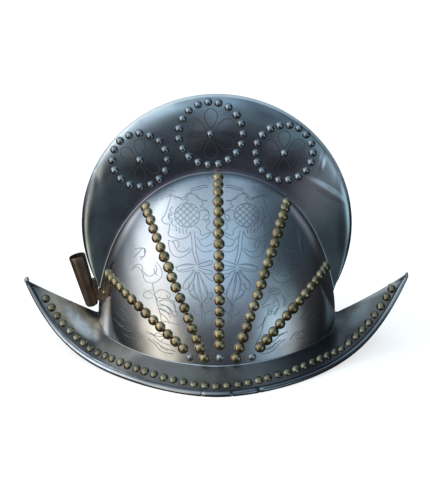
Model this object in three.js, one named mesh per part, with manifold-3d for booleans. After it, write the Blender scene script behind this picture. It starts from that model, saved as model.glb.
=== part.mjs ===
// Morion helmet: a steel skull raised in two halves with a tall comb, a boat-shaped brim with a
// rolled edge, fanned rows of domed brass studs, and a plume holder riveted to the back.
// Units are millimetres. +X points to the front peak, +Y to the wearer's left and +Z up.
// The origin lies on the surface that the brim rests on, under the middle of the helmet.

import * as THREE from 'three';
import { mergeVertices } from 'three/addons/utils/BufferGeometryUtils.js';
import Module from 'manifold-3d';

// Sheet steel, and the clearance kept between neighbouring pieces
const wall = 1.2;
const gap = 0.3;

// Tolerances: points that count as one, shares that count as equal, and a small turn round the brim
const weldDistance = 1e-4;
const sameShare = 1e-6;
const smallTurn = 1e-3;

// Skull: half an ellipsoid, on a joint with the brim that is higher at the ends than at the sides
const skullHalfLength = 107.8;
const skullHalfWidth = 86;
const skullRise = 153.5;
const jointSideHeight = 15.5;
const jointEndHeight = 31;
const jointPower = 0.74;
const jointDip = 3.7;
const jointDipAt = 0.3;

// Comb: a thin round blade over the skull, with a hem along its edge
const combRadius = 120.8;
const combCentreHeight = 114.3;
const combRootHalf = 6.5;
const combEdgeHalf = 1.9;
const hemHalf = 2.6;
const hemWidth = 4;
const filletLength = 5;
const filletStartHalf = 9.5;

// Brim: measured to the centre of its rolled edge
const brimHalfLength = 172.2;
const brimHalfWidth = 114.2;
const brimPlanPower = 1.8;
const brimPeakPower = 1.3;
const frontRisePower = 5.7;
const rearRisePower = 6.2;
const frontTipHeight = 69.4;
const rearTipHeight = 61.2;
const ridgeCurve = 12.6;
const brimDish = 1.5;
const rollRadius = 2.75;
const rollWear = 0.12;
const sheetDrop = 1.4;
const slopeShare = 0.9;

// Brass studs and steel rivets
const studHeight = 2.6;
const studRadius = 4.6;
const crownShare = 0.55;
const neckHalf = 1.1;
const neckHeight = 0.8;
const rowLean = 0.344;
const baseRivetRadius = 3.6;
const baseRivetHeight = 2;
const brimStudRadius = 3.6;
const brimStudCount = 43;
const brimStudInset = 8.6;
const brimStudEndTurn = 20;

// Plume holder: a closed-ended conical tube on a plate that wraps the back of the skull
const plumeBottomX = -113;
const plumeBottomHeight = 37.9;
const plumeTopX = -126.1;
const plumeTopHeight = 86.4;
const plumeTopRadius = 7.6;
const plumeBottomRadius = 5.8;
const plumeTubeWall = 1;
const plumeFloor = 3;
const plateThickness = 1.5;
const plateHalfSpan = 26;
const plateLowRise = 12.5;
const plateHighRise = 22.4;
const plateLowClimb = 23.4;
const plateHighClimb = 24.6;
const plateRivetSpan = 19.5;
const plateRivetRadius = 2.8;
const webLowRise = 17;
const webTopHeight = 61;
const webHalf = 3.2;

// Mesh divisions
const quarterSteps = 13;
const domeSteps = 8;
const combSteps = 22;
const brimSteps = 52;
const rollSides = 8;
const sheetShares = [0.06, 0.36, 0.68];
const studSides = 10;
const tubeSides = 16;
const plateSteps = 10;
const pathSteps = 400;
const seatSamples = 16;
const seatSampleShares = [0.35, 0.7, 1, 1.05];

// Brass stud rows on each side of the skull: side-view places of the lowest and highest stud
const studRows = [
  { row: 1, studs: 13, lowX: -28.9, lowZ: 30.9, highX: -97, highZ: 76.6 },
  { row: 2, studs: 17, lowX: -10.8, lowZ: 23, highX: -62.5, highZ: 138.9 },
  { row: 3, studs: 17, lowX: 2.4, lowZ: 35.4, highX: 1, highZ: 164.7 },
  { row: 4, studs: 17, lowX: 16.7, lowZ: 23, highX: 61.4, highZ: 141.7 },
  { row: 5, studs: 13, lowX: 37.3, lowZ: 31, highX: 97, highZ: 81.8 },
];

// Steel rivets below the rows, at the foot of the skull
const baseRivets = [
  { rivet: 1, x: -23.1, z: 22.6 },
  { rivet: 2, x: 2.7, z: 23.6 },
  { rivet: 3, x: 30.7, z: 22.6 },
];

const sides = [
  { name: 'right', sign: -1 },
  { name: 'left', sign: 1 },
];

const wasm = await Module();
wasm.setup();

const steel = () => new THREE.MeshStandardMaterial({ color: 0x8d949c, roughness: 0.28, metalness: 1 });
const rivetSteel = () => new THREE.MeshStandardMaterial({ color: 0x9aa0a6, roughness: 0.35, metalness: 1 });
const brass = () => new THREE.MeshStandardMaterial({ color: 0x9a7f43, roughness: 0.38, metalness: 1 });
const bronze = () => new THREE.MeshStandardMaterial({ color: 0x4b3a2c, roughness: 0.5, metalness: 1 });

const helmet = new THREE.Group();

function addPiece(name, geometry, material) {
  const piece = new THREE.Mesh(geometry, material);
  piece.name = name;
  helmet.add(piece);
}

// Geometry from shared points and triangles, with its faces turned outwards
function closedGeometry(points, triangles) {
  const volume = triangles.reduce((sum, [a, b, c]) => {
    const normal = points[b].clone().cross(points[c]);
    return sum + points[a].dot(normal);
  }, 0);
  const facing = volume > 0 ? triangles : triangles.map(([a, b, c]) => [a, c, b]);
  const geometry = new THREE.BufferGeometry();
  geometry.setFromPoints(points);
  geometry.setIndex(facing.flat());
  return geometry;
}

function solidOf(geometry) {
  const bare = geometry.clone();
  bare.deleteAttribute('normal');
  bare.deleteAttribute('uv');
  const merged = mergeVertices(bare, weldDistance);
  return new wasm.Manifold(new wasm.Mesh({
    numProp: 3,
    vertProperties: new Float32Array(merged.attributes.position.array),
    triVerts: new Uint32Array(merged.index.array),
  }));
}

function geometryOf(solid) {
  const mesh = solid.getMesh();
  const geometry = new THREE.BufferGeometry();
  geometry.setAttribute('position', new THREE.BufferAttribute(mesh.vertProperties, 3));
  geometry.setIndex(new THREE.BufferAttribute(mesh.triVerts, 1));
  return geometry;
}

// Height of the joint, which climbs from the sides, dips beside each end and peaks at it
function jointHeight(x) {
  const along = Math.min(Math.abs(x) / skullHalfLength, 1);
  const aside = Math.sqrt(1 - along * along);
  const climb = (jointEndHeight - jointSideHeight) * (1 - aside) ** jointPower;
  const dipPlace = (aside / jointDipAt) ** 2;
  return jointSideHeight + climb - jointDip * dipPlace * Math.exp(1 - dipPlace);
}

// The skull's sheet runs down past the joint by the brim's thickness
function footHeight(x) {
  return jointHeight(x) - wall;
}

// Half-width of the dome at a side-view place, and the outward direction there on the +Y side
function domeHalf(x, z) {
  const rise = z - footHeight(x);
  const left = 1 - (x / skullHalfLength) ** 2 - (rise / skullRise) ** 2;
  return skullHalfWidth * Math.sqrt(Math.max(left, 0));
}

function domeNormal(x, y, z) {
  return new THREE.Vector3(
    x / skullHalfLength ** 2,
    y / skullHalfWidth ** 2,
    (z - footHeight(x)) / skullRise ** 2,
  ).normalize();
}

// Height above the foot line at which the comb's circle leaves the front and back of the skull
function combSpring() {
  let low = 0;
  let high = skullRise / 2;
  while (high - low > weldDistance) {
    const rise = (low + high) / 2;
    const x = skullHalfLength * Math.sqrt(1 - (rise / skullRise) ** 2);
    const fromCentre = Math.hypot(x, rise + footHeight(x) - combCentreHeight);
    if (fromCentre > combRadius) {
      low = rise;
    } else {
      high = rise;
    }
  }
  const rise = (low + high) / 2;
  return { x: skullHalfLength * Math.sqrt(1 - (rise / skullRise) ** 2), rise };
}

// The skull's outline in side view, from the foot at the front, over the comb, to the foot at the back
function sideOutline() {
  const spring = combSpring();
  const springHeight = spring.rise + footHeight(spring.x) - combCentreHeight;
  const springTurn = Math.atan2(springHeight, spring.x);
  const front = [{ x: skullHalfLength, rise: 0 }];
  for (let step = 0; step <= combSteps; step++) {
    const turn = springTurn + (Math.PI - 2 * springTurn) * step / combSteps;
    const x = combRadius * Math.cos(turn);
    front.push({ x, rise: combCentreHeight + combRadius * Math.sin(turn) - footHeight(x) });
  }
  front.push({ x: -skullHalfLength, rise: 0 });
  return front;
}

// Section from the middle of the side up to the outline: reach along the ray and half-width.
// The dome turns through a fillet into the comb, which thins to its hem.
function shellSection(outlinePoint, inset) {
  const length = Math.hypot(outlinePoint.x, outlinePoint.rise);
  const ray = { x: outlinePoint.x / length, rise: outlinePoint.rise / length };
  const halfWidth = skullHalfWidth - inset;
  const domeReach = 1 / Math.hypot(ray.x / (skullHalfLength - inset), ray.rise / (skullRise - inset));
  const rimReach = Math.max(length - inset, domeReach);
  const combHeight = rimReach - domeReach;
  const combShare = THREE.MathUtils.smoothstep(combHeight, 0, filletLength + hemWidth);
  const crowding = Math.min(1, combHeight / (2 * filletLength + hemWidth));
  const fillet = filletLength * crowding;
  const hem = hemWidth * crowding;
  const lastTurn = Math.acos((filletStartHalf - inset) / halfWidth);
  const onDome = (turn) => ({ reach: domeReach * Math.sin(turn), half: halfWidth * Math.cos(turn) });

  const start = onDome(lastTurn);
  const root = { reach: domeReach, half: combRootHalf - inset };
  const hemStart = { reach: rimReach - hem, half: combEdgeHalf - inset };
  const filletEnd = {
    reach: domeReach + fillet,
    half: THREE.MathUtils.lerp(root.half, hemStart.half, fillet / Math.max(combHeight - hem, fillet, 1)),
  };
  const filletMiddle = {
    reach: (start.reach + 2 * root.reach + filletEnd.reach) / 4,
    half: (start.half + 2 * root.half + filletEnd.half) / 4,
  };
  const hemCrest = { reach: rimReach - hem / 2, half: hemHalf - inset };
  const rim = { reach: rimReach, half: 0 };
  const comb = [filletMiddle, filletEnd, hemStart, hemCrest, rim];

  const section = [];
  for (let step = 0; step <= domeSteps; step++) {
    section.push(onDome(lastTurn * step / domeSteps));
  }
  comb.forEach((raised, index) => {
    const plain = onDome(THREE.MathUtils.lerp(lastTurn, Math.PI / 2, (index + 1) / comb.length));
    section.push({
      reach: THREE.MathUtils.lerp(plain.reach, raised.reach, combShare),
      half: THREE.MathUtils.lerp(plain.half, raised.half, combShare),
    });
  });
  return section.map(({ reach, half }) => {
    const x = ray.x * reach;
    return new THREE.Vector3(x, Math.max(half, gap / 2), ray.rise * reach + footHeight(x));
  });
}

// One half of the skull and comb, with an open foot and a flat seam on the middle plane
function skullHalf(sign) {
  const outline = sideOutline();
  const rows = outline.length;
  const columns = quarterSteps + 1;
  const points = [];
  for (const inset of [0, wall]) {
    for (const outlinePoint of outline) {
      for (const point of shellSection(outlinePoint, inset)) {
        points.push(new THREE.Vector3(point.x, sign * point.y, point.z));
      }
    }
  }
  const at = (layer, row, column) => {
    const shared = column === 0 ? 0 : row;
    return (layer * rows + shared) * columns + column;
  };
  const triangles = [];
  const quad = (a, b, c, d) => triangles.push([a, b, c], [a, c, d]);
  for (let row = 0; row < rows - 1; row++) {
    for (let column = 0; column < quarterSteps; column++) {
      const next = column + 1;
      quad(at(0, row, column), at(0, row, next), at(0, row + 1, next), at(0, row + 1, column));
      quad(at(1, row + 1, column), at(1, row + 1, next), at(1, row, next), at(1, row, column));
    }
    quad(at(0, row, quarterSteps), at(1, row, quarterSteps),
      at(1, row + 1, quarterSteps), at(0, row + 1, quarterSteps));
  }
  for (let column = 0; column < quarterSteps; column++) {
    const next = column + 1;
    quad(at(0, 0, next), at(0, 0, column), at(1, 0, column), at(1, 0, next));
    quad(at(0, rows - 1, column), at(0, rows - 1, next), at(1, rows - 1, next), at(1, rows - 1, column));
  }
  const used = new Map();
  const kept = [];
  const whole = triangles.filter(([a, b, c]) => a !== b && b !== c && c !== a);
  const packed = whole.map((triangle) => triangle.map((index) => {
    if (!used.has(index)) {
      used.set(index, kept.length);
      kept.push(points[index]);
    }
    return used.get(index);
  }));
  return closedGeometry(kept, packed);
}

// Half-width and height of the rolled edge's centre, by the place along the helmet
function edgeAt(x) {
  const share = Math.min(Math.abs(x) / brimHalfLength, 1);
  const tipHeight = x > 0 ? frontTipHeight : rearTipHeight;
  const risePower = x > 0 ? frontRisePower : rearRisePower;
  const sideHeight = rollRadius - rollWear;
  return {
    half: brimHalfWidth * (1 - share ** brimPlanPower) ** brimPeakPower,
    height: sideHeight + (tipHeight - sideHeight) * share ** risePower,
  };
}

// Ridge of the brim in front of and behind the skull, which curves up towards the peak
function ridgeHeight(x) {
  const share = (Math.abs(x) - skullHalfLength) / (brimHalfLength - skullHalfLength);
  const tipHeight = x > 0 ? frontTipHeight : rearTipHeight;
  return jointEndHeight + (tipHeight - jointEndHeight - ridgeCurve) * share + ridgeCurve * share * share;
}

// Height of the brim at a place in plan: it falls from the skull, or from the ridge, to the edge
function brimHeight(x, y) {
  const beside = Math.abs(x) < skullHalfLength;
  const innerHalf = beside ? skullHalfWidth * Math.sqrt(1 - (x / skullHalfLength) ** 2) : 0;
  const innerHeight = beside ? jointHeight(x) : ridgeHeight(x);
  const edge = edgeAt(x);
  const across = (Math.abs(y) - innerHalf) / Math.max(edge.half - innerHalf, weldDistance);
  const share = THREE.MathUtils.clamp(across, 0, 1);
  const dish = 4 * brimDish * share * (1 - share);
  return THREE.MathUtils.lerp(innerHeight, edge.height, share) - dish;
}

// Centre of the rolled edge, by the turn round the helmet from the front peak
function brimEdge(turn) {
  const x = brimHalfLength * Math.cos(turn);
  const { half, height } = edgeAt(x);
  return new THREE.Vector3(x, Math.sign(Math.sin(turn)) * half, height);
}

// Inner edge of the brim, just clear of the skull
function brimRoot(turn) {
  const x = skullHalfLength * Math.cos(turn);
  return new THREE.Vector3(
    (skullHalfLength + gap) * Math.cos(turn),
    (skullHalfWidth + gap) * Math.sin(turn),
    jointHeight(x),
  );
}

// Place on the brim's sheet, by its share of the way from the skull to the edge
function brimPlace(turn, share) {
  const place = brimRoot(turn).lerp(brimEdge(turn), share);
  place.z = brimHeight(place.x, place.y);
  return place;
}

// Directions at the edge: outwards in the brim's surface, and up from it
function brimFrame(turn) {
  const outward = brimEdge(turn).sub(brimPlace(turn, slopeShare)).normalize();
  const peak = Math.abs(Math.sin(turn)) < smallTurn;
  const tangent = peak
    ? new THREE.Vector3(0, Math.sign(Math.cos(turn)), 0)
    : brimEdge(turn + smallTurn).sub(brimEdge(turn - smallTurn)).normalize();
  outward.addScaledVector(tangent, -outward.dot(tangent)).normalize();
  const up = outward.clone().cross(tangent);
  return { outward, up: up.z < 0 ? up.negate() : up };
}

// The brim's slope at the side sets the turn of the roll, so that a flat of it meets the surface
function rollTurns() {
  const { outward } = brimFrame(Math.PI / 2);
  const slope = Math.asin(-outward.z);
  const step = 2 * Math.PI / rollSides;
  const lowestFlat = slope - Math.PI / 2;
  const firstTurn = lowestFlat + Math.PI + 3 * step / 2;
  return Array.from({ length: rollSides }, (unused, side) => firstTurn - side * step);
}

// Closed section of the brim: top of the sheet, round the roll, then back along the underside
function brimSection(turn, turns) {
  const root = brimRoot(turn);
  const edge = brimEdge(turn);
  const { outward, up } = brimFrame(turn);
  const cornerRadius = rollRadius / Math.cos(Math.PI / rollSides);
  const roll = turns.map((angle) => {
    const corner = edge.clone();
    corner.addScaledVector(outward, cornerRadius * Math.cos(angle));
    corner.addScaledVector(up, cornerRadius * Math.sin(angle));
    corner.z = Math.max(corner.z, 0);
    return corner;
  });
  const lowered = (place) => place.clone().setZ(place.z - sheetDrop);
  const sheet = sheetShares.map((share) => brimPlace(turn, share));
  const underside = sheet.map(lowered).reverse();
  return [root, ...sheet, ...roll, ...underside, lowered(root)];
}

const brimTurns = rollTurns();
const brimSections = Array.from({ length: brimSteps }, (unused, step) => {
  return brimSection(2 * Math.PI * step / brimSteps, brimTurns);
});

function brim() {
  const across = brimSections[0].length;
  const triangles = [];
  for (let step = 0; step < brimSteps; step++) {
    const here = step * across;
    const ahead = ((step + 1) % brimSteps) * across;
    for (let place = 0; place < across; place++) {
      const next = (place + 1) % across;
      triangles.push([here + place, here + next, ahead + next]);
      triangles.push([here + place, ahead + next, ahead + place]);
    }
  }
  return closedGeometry(brimSections.flat(), triangles);
}

// Facets of the brim's top, from the skull to the upper side of the roll
const topFacets = brimSections.flatMap((here, step) => {
  const ahead = brimSections[(step + 1) % brimSteps];
  return Array.from({ length: sheetShares.length + 2 }, (unused, place) => [
    new THREE.Triangle(here[place], here[place + 1], ahead[place + 1]),
    new THREE.Triangle(here[place], ahead[place + 1], ahead[place]),
  ]).flat();
});

// Height of the brim's top at a place in plan
function topHeight(x, y) {
  for (const { a, b, c } of topFacets) {
    const area = (b.x - a.x) * (c.y - a.y) - (c.x - a.x) * (b.y - a.y);
    const toB = ((x - a.x) * (c.y - a.y) - (c.x - a.x) * (y - a.y)) / area;
    const toC = ((b.x - a.x) * (y - a.y) - (x - a.x) * (b.y - a.y)) / area;
    if (Math.min(toB, toC, 1 - toB - toC) >= -sameShare) {
      return a.z + toB * (b.z - a.z) + toC * (c.z - a.z);
    }
  }
  throw new Error(`no brim at ${x}, ${y}`);
}

// Low dome on a flat base, with its axis on +Z and a flat of its base facing +X
function studHead(radius, height) {
  const points = [];
  const crownSides = studSides / 2;
  for (let side = 0; side < studSides; side++) {
    const turn = 2 * Math.PI * (side + 0.5) / studSides;
    points.push(new THREE.Vector3(radius * Math.cos(turn), radius * Math.sin(turn), 0));
  }
  for (let side = 0; side < crownSides; side++) {
    const turn = 2 * Math.PI * (2 * side + 1) / studSides;
    const reach = radius * crownShare;
    points.push(new THREE.Vector3(reach * Math.cos(turn), reach * Math.sin(turn), height));
  }
  const triangles = [];
  for (let side = 0; side < crownSides; side++) {
    const low = 2 * side;
    const after = (low + 2) % studSides;
    const crown = studSides + side;
    const nextCrown = studSides + (side + 1) % crownSides;
    triangles.push([low, low + 1, crown], [low + 1, nextCrown, crown], [low + 1, after, nextCrown]);
  }
  for (let side = 1; side < studSides - 1; side++) {
    triangles.push([0, side + 1, side]);
  }
  for (let side = 1; side < crownSides - 1; side++) {
    triangles.push([studSides, studSides + side, studSides + side + 1]);
  }
  return closedGeometry(points, triangles);
}

// Stands a head on a surface place, clear of it, with a flat of its base facing along the row
function seatMatrix({ place, normal, along }) {
  const across = normal.clone().cross(along).normalize();
  const level = across.clone().cross(normal).normalize();
  const seat = place.clone().addScaledVector(normal, gap);
  return new THREE.Matrix4().makeBasis(level, across, normal).setPosition(seat);
}

// Evenly spaced seats along a path on a surface
function seatsAlong(pathPoint, seatAt, count) {
  const path = Array.from({ length: pathSteps + 1 }, (unused, step) => pathPoint(step / pathSteps));
  const runs = [0];
  for (let step = 1; step <= pathSteps; step++) {
    runs.push(runs[step - 1] + path[step].distanceTo(path[step - 1]));
  }
  const spacing = runs[pathSteps] / (count - 1);
  return Array.from({ length: count }, (unused, stud) => {
    const step = stud === count - 1 ? pathSteps : runs.findIndex((run) => run >= stud * spacing);
    const before = path[Math.max(step - 1, 0)];
    const after = path[Math.min(step + 1, pathSteps)];
    return { ...seatAt(path[step]), along: after.clone().sub(before).normalize() };
  });
}

// Frame between two seats, for the neck that joins their heads
function betweenSeats(first, second) {
  return {
    place: first.place.clone().lerp(second.place, 0.5),
    normal: first.normal.clone().add(second.normal).normalize(),
    along: second.place.clone().sub(first.place).normalize(),
  };
}

// Triangles between an outer and an inner ring that both run round by rising turn
function zipRings(outer, inner) {
  const triangles = [];
  let out = 0;
  let into = 0;
  while (out < outer.length || into < inner.length) {
    const outHere = outer[out % outer.length].index;
    const inHere = inner[into % inner.length].index;
    const outNext = out < outer.length ? outer[(out + 1) % outer.length] : null;
    const inNext = into < inner.length ? inner[(into + 1) % inner.length] : null;
    const outTurn = outNext ? outNext.turn + (out + 1 === outer.length ? 2 * Math.PI : 0) : Infinity;
    const inTurn = inNext ? inNext.turn + (into + 1 === inner.length ? 2 * Math.PI : 0) : Infinity;
    if (outTurn <= inTurn) {
      triangles.push([outHere, outNext.index, inHere]);
      out += 1;
    } else {
      triangles.push([outHere, inNext.index, inHere]);
      into += 1;
    }
  }
  return triangles;
}

// Domed heads in a row, joined into one body by a low neck between each two of them
function studChain(seats, radius) {
  const points = [];
  const triangles = [];
  const place = (seat, along, side, height) => {
    points.push(new THREE.Vector3(along, side, height).applyMatrix4(seatMatrix(seat)));
    return points.length - 1;
  };
  const necks = seats.slice(1).map((seat, index) => {
    const middle = betweenSeats(seats[index], seat);
    return [1, -1].map((side) => ({
      low: place(middle, 0, side * neckHalf, 0),
      high: place(middle, 0, side * neckHalf, neckHeight),
    }));
  });
  const sideTurn = 2 * Math.PI / studSides;
  seats.forEach((seat, index) => {
    const around = (side) => {
      const turn = sideTurn * (side + 0.5);
      return { turn, index: place(seat, radius * Math.cos(turn), radius * Math.sin(turn), 0) };
    };
    const ring = [];
    const base = [];
    for (let side = 0; side < studSides; side++) {
      const ahead = side === 0 || side === studSides - 1;
      const behind = side === studSides / 2 - 1 || side === studSides / 2;
      const neck = ahead ? necks[index] : behind ? necks[index - 1] : null;
      if (!neck) {
        const own = around(side);
        ring.push(own);
        base.push(own.index);
        continue;
      }
      const turn = sideTurn * (side + 0.5);
      const { low, high } = neck[side < studSides / 2 ? 0 : 1];
      const climbs = side === studSides / 2 - 1 || side === studSides - 1;
      const ends = climbs ? [low, high] : [high, low];
      ring.push(...ends.map((end) => ({ turn, index: end })));
      base.push(low);
    }
    const crown = Array.from({ length: studSides / 2 }, (unused, side) => {
      const turn = 2 * sideTurn * (side + 0.5);
      const reach = crownShare * radius;
      return { turn, index: place(seat, reach * Math.cos(turn), reach * Math.sin(turn), studHeight) };
    });
    triangles.push(...zipRings(ring, crown));
    for (let side = 1; side < base.length - 1; side++) {
      triangles.push([base[0], base[side + 1], base[side]]);
    }
    for (let side = 1; side < crown.length - 1; side++) {
      triangles.push([crown[0].index, crown[side].index, crown[side + 1].index]);
    }
  });
  return closedGeometry(points, triangles);
}

// A row stands in a plane that leans out from the upright, from its lowest to its highest stud
function skullRow({ lowX, lowZ, highX, highZ, studs }, sign) {
  const level = (x, z) => z - rowLean * domeHalf(x, z);
  const lowLevel = level(lowX, lowZ);
  const highLevel = level(highX, highZ);
  const pathPoint = (share) => {
    const x = THREE.MathUtils.lerp(lowX, highX, share);
    const rise = THREE.MathUtils.lerp(lowLevel, highLevel, share) - footHeight(x);
    const square = 1 / skullHalfWidth ** 2 + (rowLean / skullRise) ** 2;
    const linear = rise * rowLean / skullRise ** 2;
    const constant = (rise / skullRise) ** 2 + (x / skullHalfLength) ** 2 - 1;
    const y = (Math.sqrt(linear * linear - square * constant) - linear) / square;
    return new THREE.Vector3(x, sign * y, rise + footHeight(x) + rowLean * y);
  };
  const seatAt = (place) => ({ place, normal: domeNormal(place.x, place.y, place.z) });
  return studChain(seatsAlong(pathPoint, seatAt, studs), studRadius);
}

// Seat for a stud on the brim, high enough for the whole of its base to clear the facets under it
function brimSeat(place) {
  const { x, y, z } = place;
  const reach = brimStudRadius;
  const slopeX = (topHeight(x + reach, y) - topHeight(x - reach, y)) / (2 * reach);
  const slopeY = (topHeight(x, y + reach) - topHeight(x, y - reach)) / (2 * reach);
  const lifts = seatSampleShares.flatMap((share) => Array.from({ length: seatSamples }, (unused, side) => {
    const turn = 2 * Math.PI * side / seatSamples;
    const toX = share * reach * Math.cos(turn);
    const toY = share * reach * Math.sin(turn);
    return topHeight(x + toX, y + toY) - z - slopeX * toX - slopeY * toY;
  }));
  return {
    place: new THREE.Vector3(x, y, z + Math.max(0, ...lifts)),
    normal: new THREE.Vector3(-slopeX, -slopeY, 1).normalize(),
  };
}

// Studs just inside the rolled edge, from near the back peak to near the front peak
function brimRow(sign) {
  const endTurn = THREE.MathUtils.degToRad(brimStudEndTurn);
  const pathPoint = (share) => {
    const turn = sign * THREE.MathUtils.lerp(Math.PI - endTurn, endTurn, share);
    const { x, y } = brimEdge(turn).addScaledVector(brimFrame(turn).outward, -brimStudInset);
    return new THREE.Vector3(x, y, topHeight(x, y));
  };
  return studChain(seatsAlong(pathPoint, brimSeat, brimStudCount), brimStudRadius);
}

function baseRivet({ x, z }, sign) {
  const place = new THREE.Vector3(x, sign * domeHalf(x, z), z);
  const normal = domeNormal(place.x, place.y, place.z);
  const along = new THREE.Vector3(0, 0, 1);
  return studHead(baseRivetRadius, baseRivetHeight).applyMatrix4(seatMatrix({ place, normal, along }));
}

// Place at the back of the skull, by the turn from the middle plane and the height above the foot
function backOfSkull(turn, rise, offset) {
  const level = Math.sqrt(1 - (rise / skullRise) ** 2);
  const x = -skullHalfLength * level * Math.cos(turn);
  const y = skullHalfWidth * level * Math.sin(turn);
  const place = new THREE.Vector3(x, y, rise + footHeight(x));
  return place.addScaledVector(domeNormal(place.x, place.y, place.z), offset);
}

// The plate's edges climb from the middle plane to its ends
function plateRise(turn, middleRise, climb) {
  return middleRise + climb * Math.abs(turn) / THREE.MathUtils.degToRad(plateHalfSpan);
}

// Curved plate that follows the back of the skull
function plumePlate() {
  const span = THREE.MathUtils.degToRad(plateHalfSpan);
  const sections = Array.from({ length: plateSteps + 1 }, (unused, step) => {
    const turn = span * (2 * step / plateSteps - 1);
    const low = plateRise(turn, plateLowRise, plateLowClimb);
    const high = plateRise(turn, plateHighRise, plateHighClimb);
    const rises = [low, (low + high) / 2, high];
    const inside = rises.map((rise) => backOfSkull(turn, rise, gap));
    const outside = rises.map((rise) => backOfSkull(turn, rise, gap + plateThickness));
    return [...inside, ...outside.reverse()];
  });
  const corners = sections[0].length;
  const triangles = [];
  for (let step = 0; step < plateSteps; step++) {
    for (let corner = 0; corner < corners; corner++) {
      const next = (corner + 1) % corners;
      const here = step * corners;
      triangles.push([here + corner, here + next, here + corners + next]);
      triangles.push([here + corner, here + corners + next, here + corners + corner]);
    }
  }
  const last = plateSteps * corners;
  for (const [a, b, c] of [[0, 5, 1], [1, 5, 4], [1, 4, 2], [2, 4, 3]]) {
    triangles.push([a, b, c], [last + a, last + c, last + b]);
  }
  return closedGeometry(sections.flat(), triangles);
}

// A cone between two places on the tube's axis, measured from its bottom
function onPlumeAxis(from, to, fromRadius, toRadius) {
  const bottom = new THREE.Vector3(plumeBottomX, 0, plumeBottomHeight);
  const axis = new THREE.Vector3(plumeTopX, 0, plumeTopHeight).sub(bottom).normalize();
  const cone = new THREE.CylinderGeometry(toRadius, fromRadius, to - from, tubeSides);
  cone.translate(0, (from + to) / 2, 0);
  cone.applyQuaternion(new THREE.Quaternion().setFromUnitVectors(new THREE.Vector3(0, 1, 0), axis));
  return solidOf(cone.translate(bottom.x, bottom.y, bottom.z));
}

// Block of solder between the tube and the plate, with a sloping top just clear of the comb
function plumeWeb() {
  const low = backOfSkull(0, webLowRise, gap + plateThickness / 2);
  const combReach = Math.sqrt(combRadius ** 2 - (webTopHeight - combCentreHeight) ** 2);
  const highX = -combReach - 2 * gap;
  const outline = new THREE.Shape([
    new THREE.Vector2(low.x, low.z),
    new THREE.Vector2(highX, webTopHeight),
    new THREE.Vector2(highX - plumeBottomRadius, webTopHeight),
    new THREE.Vector2(low.x - plumeBottomRadius / 2, low.z),
  ]);
  const web = new THREE.ExtrudeGeometry(outline, { depth: 2 * webHalf, bevelEnabled: false });
  web.rotateX(Math.PI / 2);
  return solidOf(web.translate(0, webHalf, 0));
}

function plumeHolder() {
  const length = Math.hypot(plumeTopX - plumeBottomX, plumeTopHeight - plumeBottomHeight);
  const beyond = 2;
  const taper = (plumeTopRadius - plumeBottomRadius) / length;
  const boreRadius = (along) => plumeBottomRadius + taper * along - plumeTubeWall;
  const tube = onPlumeAxis(0, length, plumeBottomRadius, plumeTopRadius);
  const bore = onPlumeAxis(plumeFloor, length + beyond, boreRadius(plumeFloor), boreRadius(length + beyond));
  return geometryOf(solidOf(plumePlate()).add(plumeWeb()).add(tube).subtract(bore));
}

function plateRivet(sign) {
  const turn = sign * THREE.MathUtils.degToRad(plateRivetSpan);
  const low = plateRise(turn, plateLowRise, plateLowClimb);
  const high = plateRise(turn, plateHighRise, plateHighClimb);
  const place = backOfSkull(turn, (low + high) / 2, gap + plateThickness);
  const normal = domeNormal(place.x, place.y, place.z);
  const along = new THREE.Vector3(0, 0, 1);
  return studHead(plateRivetRadius, baseRivetHeight).applyMatrix4(seatMatrix({ place, normal, along }));
}

addPiece('brim', brim(), steel());
addPiece('plume_holder', plumeHolder(), bronze());
for (const { name, sign } of sides) {
  addPiece(`skull_${name}`, skullHalf(sign), steel());
  addPiece(`brim_studs_${name}`, brimRow(sign), brass());
  addPiece(`plume_rivet_${name}`, plateRivet(sign), brass());
  for (const row of studRows) {
    addPiece(`stud_row_${name}_${row.row}`, skullRow(row, sign), brass());
  }
  for (const rivet of baseRivets) {
    addPiece(`base_rivet_${name}_${rivet.rivet}`, baseRivet(rivet, sign), rivetSteel());
  }
}

export default helmet;
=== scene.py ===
import math
import random

import bmesh
import bpy
from mathutils import Matrix, Vector
from mathutils.bvhtree import BVHTree


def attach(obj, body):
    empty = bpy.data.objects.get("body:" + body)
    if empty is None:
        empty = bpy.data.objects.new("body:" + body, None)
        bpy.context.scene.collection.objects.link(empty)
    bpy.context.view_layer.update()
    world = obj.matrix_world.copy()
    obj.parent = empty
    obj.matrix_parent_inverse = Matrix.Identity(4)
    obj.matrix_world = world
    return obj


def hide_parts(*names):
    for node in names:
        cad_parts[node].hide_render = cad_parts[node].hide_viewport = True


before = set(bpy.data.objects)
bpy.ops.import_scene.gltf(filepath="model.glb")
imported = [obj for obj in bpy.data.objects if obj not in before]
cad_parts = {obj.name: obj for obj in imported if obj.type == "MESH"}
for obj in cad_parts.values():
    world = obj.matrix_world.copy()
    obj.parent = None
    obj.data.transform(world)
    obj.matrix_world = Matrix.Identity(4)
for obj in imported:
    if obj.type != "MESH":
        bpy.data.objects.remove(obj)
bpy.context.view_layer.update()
print("frame loaded")

mm = 0.001
dice = random.Random(7)


def lerp(start, end, share):
    return start + (end - start) * share


def smoothStep(value):
    share = min(max(value, 0), 1)
    return share * share * (3 - 2 * share)


# materials

def addNode(tree, kind, inputs, **attributes):
    node = tree.nodes.new(kind)
    for key, value in attributes.items():
        setattr(node, key, value)
    for key, value in inputs.items():
        if isinstance(value, bpy.types.NodeSocket):
            tree.links.new(value, node.inputs[key])
        else:
            node.inputs[key].default_value = value
    return node


def mathOf(tree, operation, *values):
    return addNode(tree, "ShaderNodeMath", dict(enumerate(values)), operation=operation).outputs[0]


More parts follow.
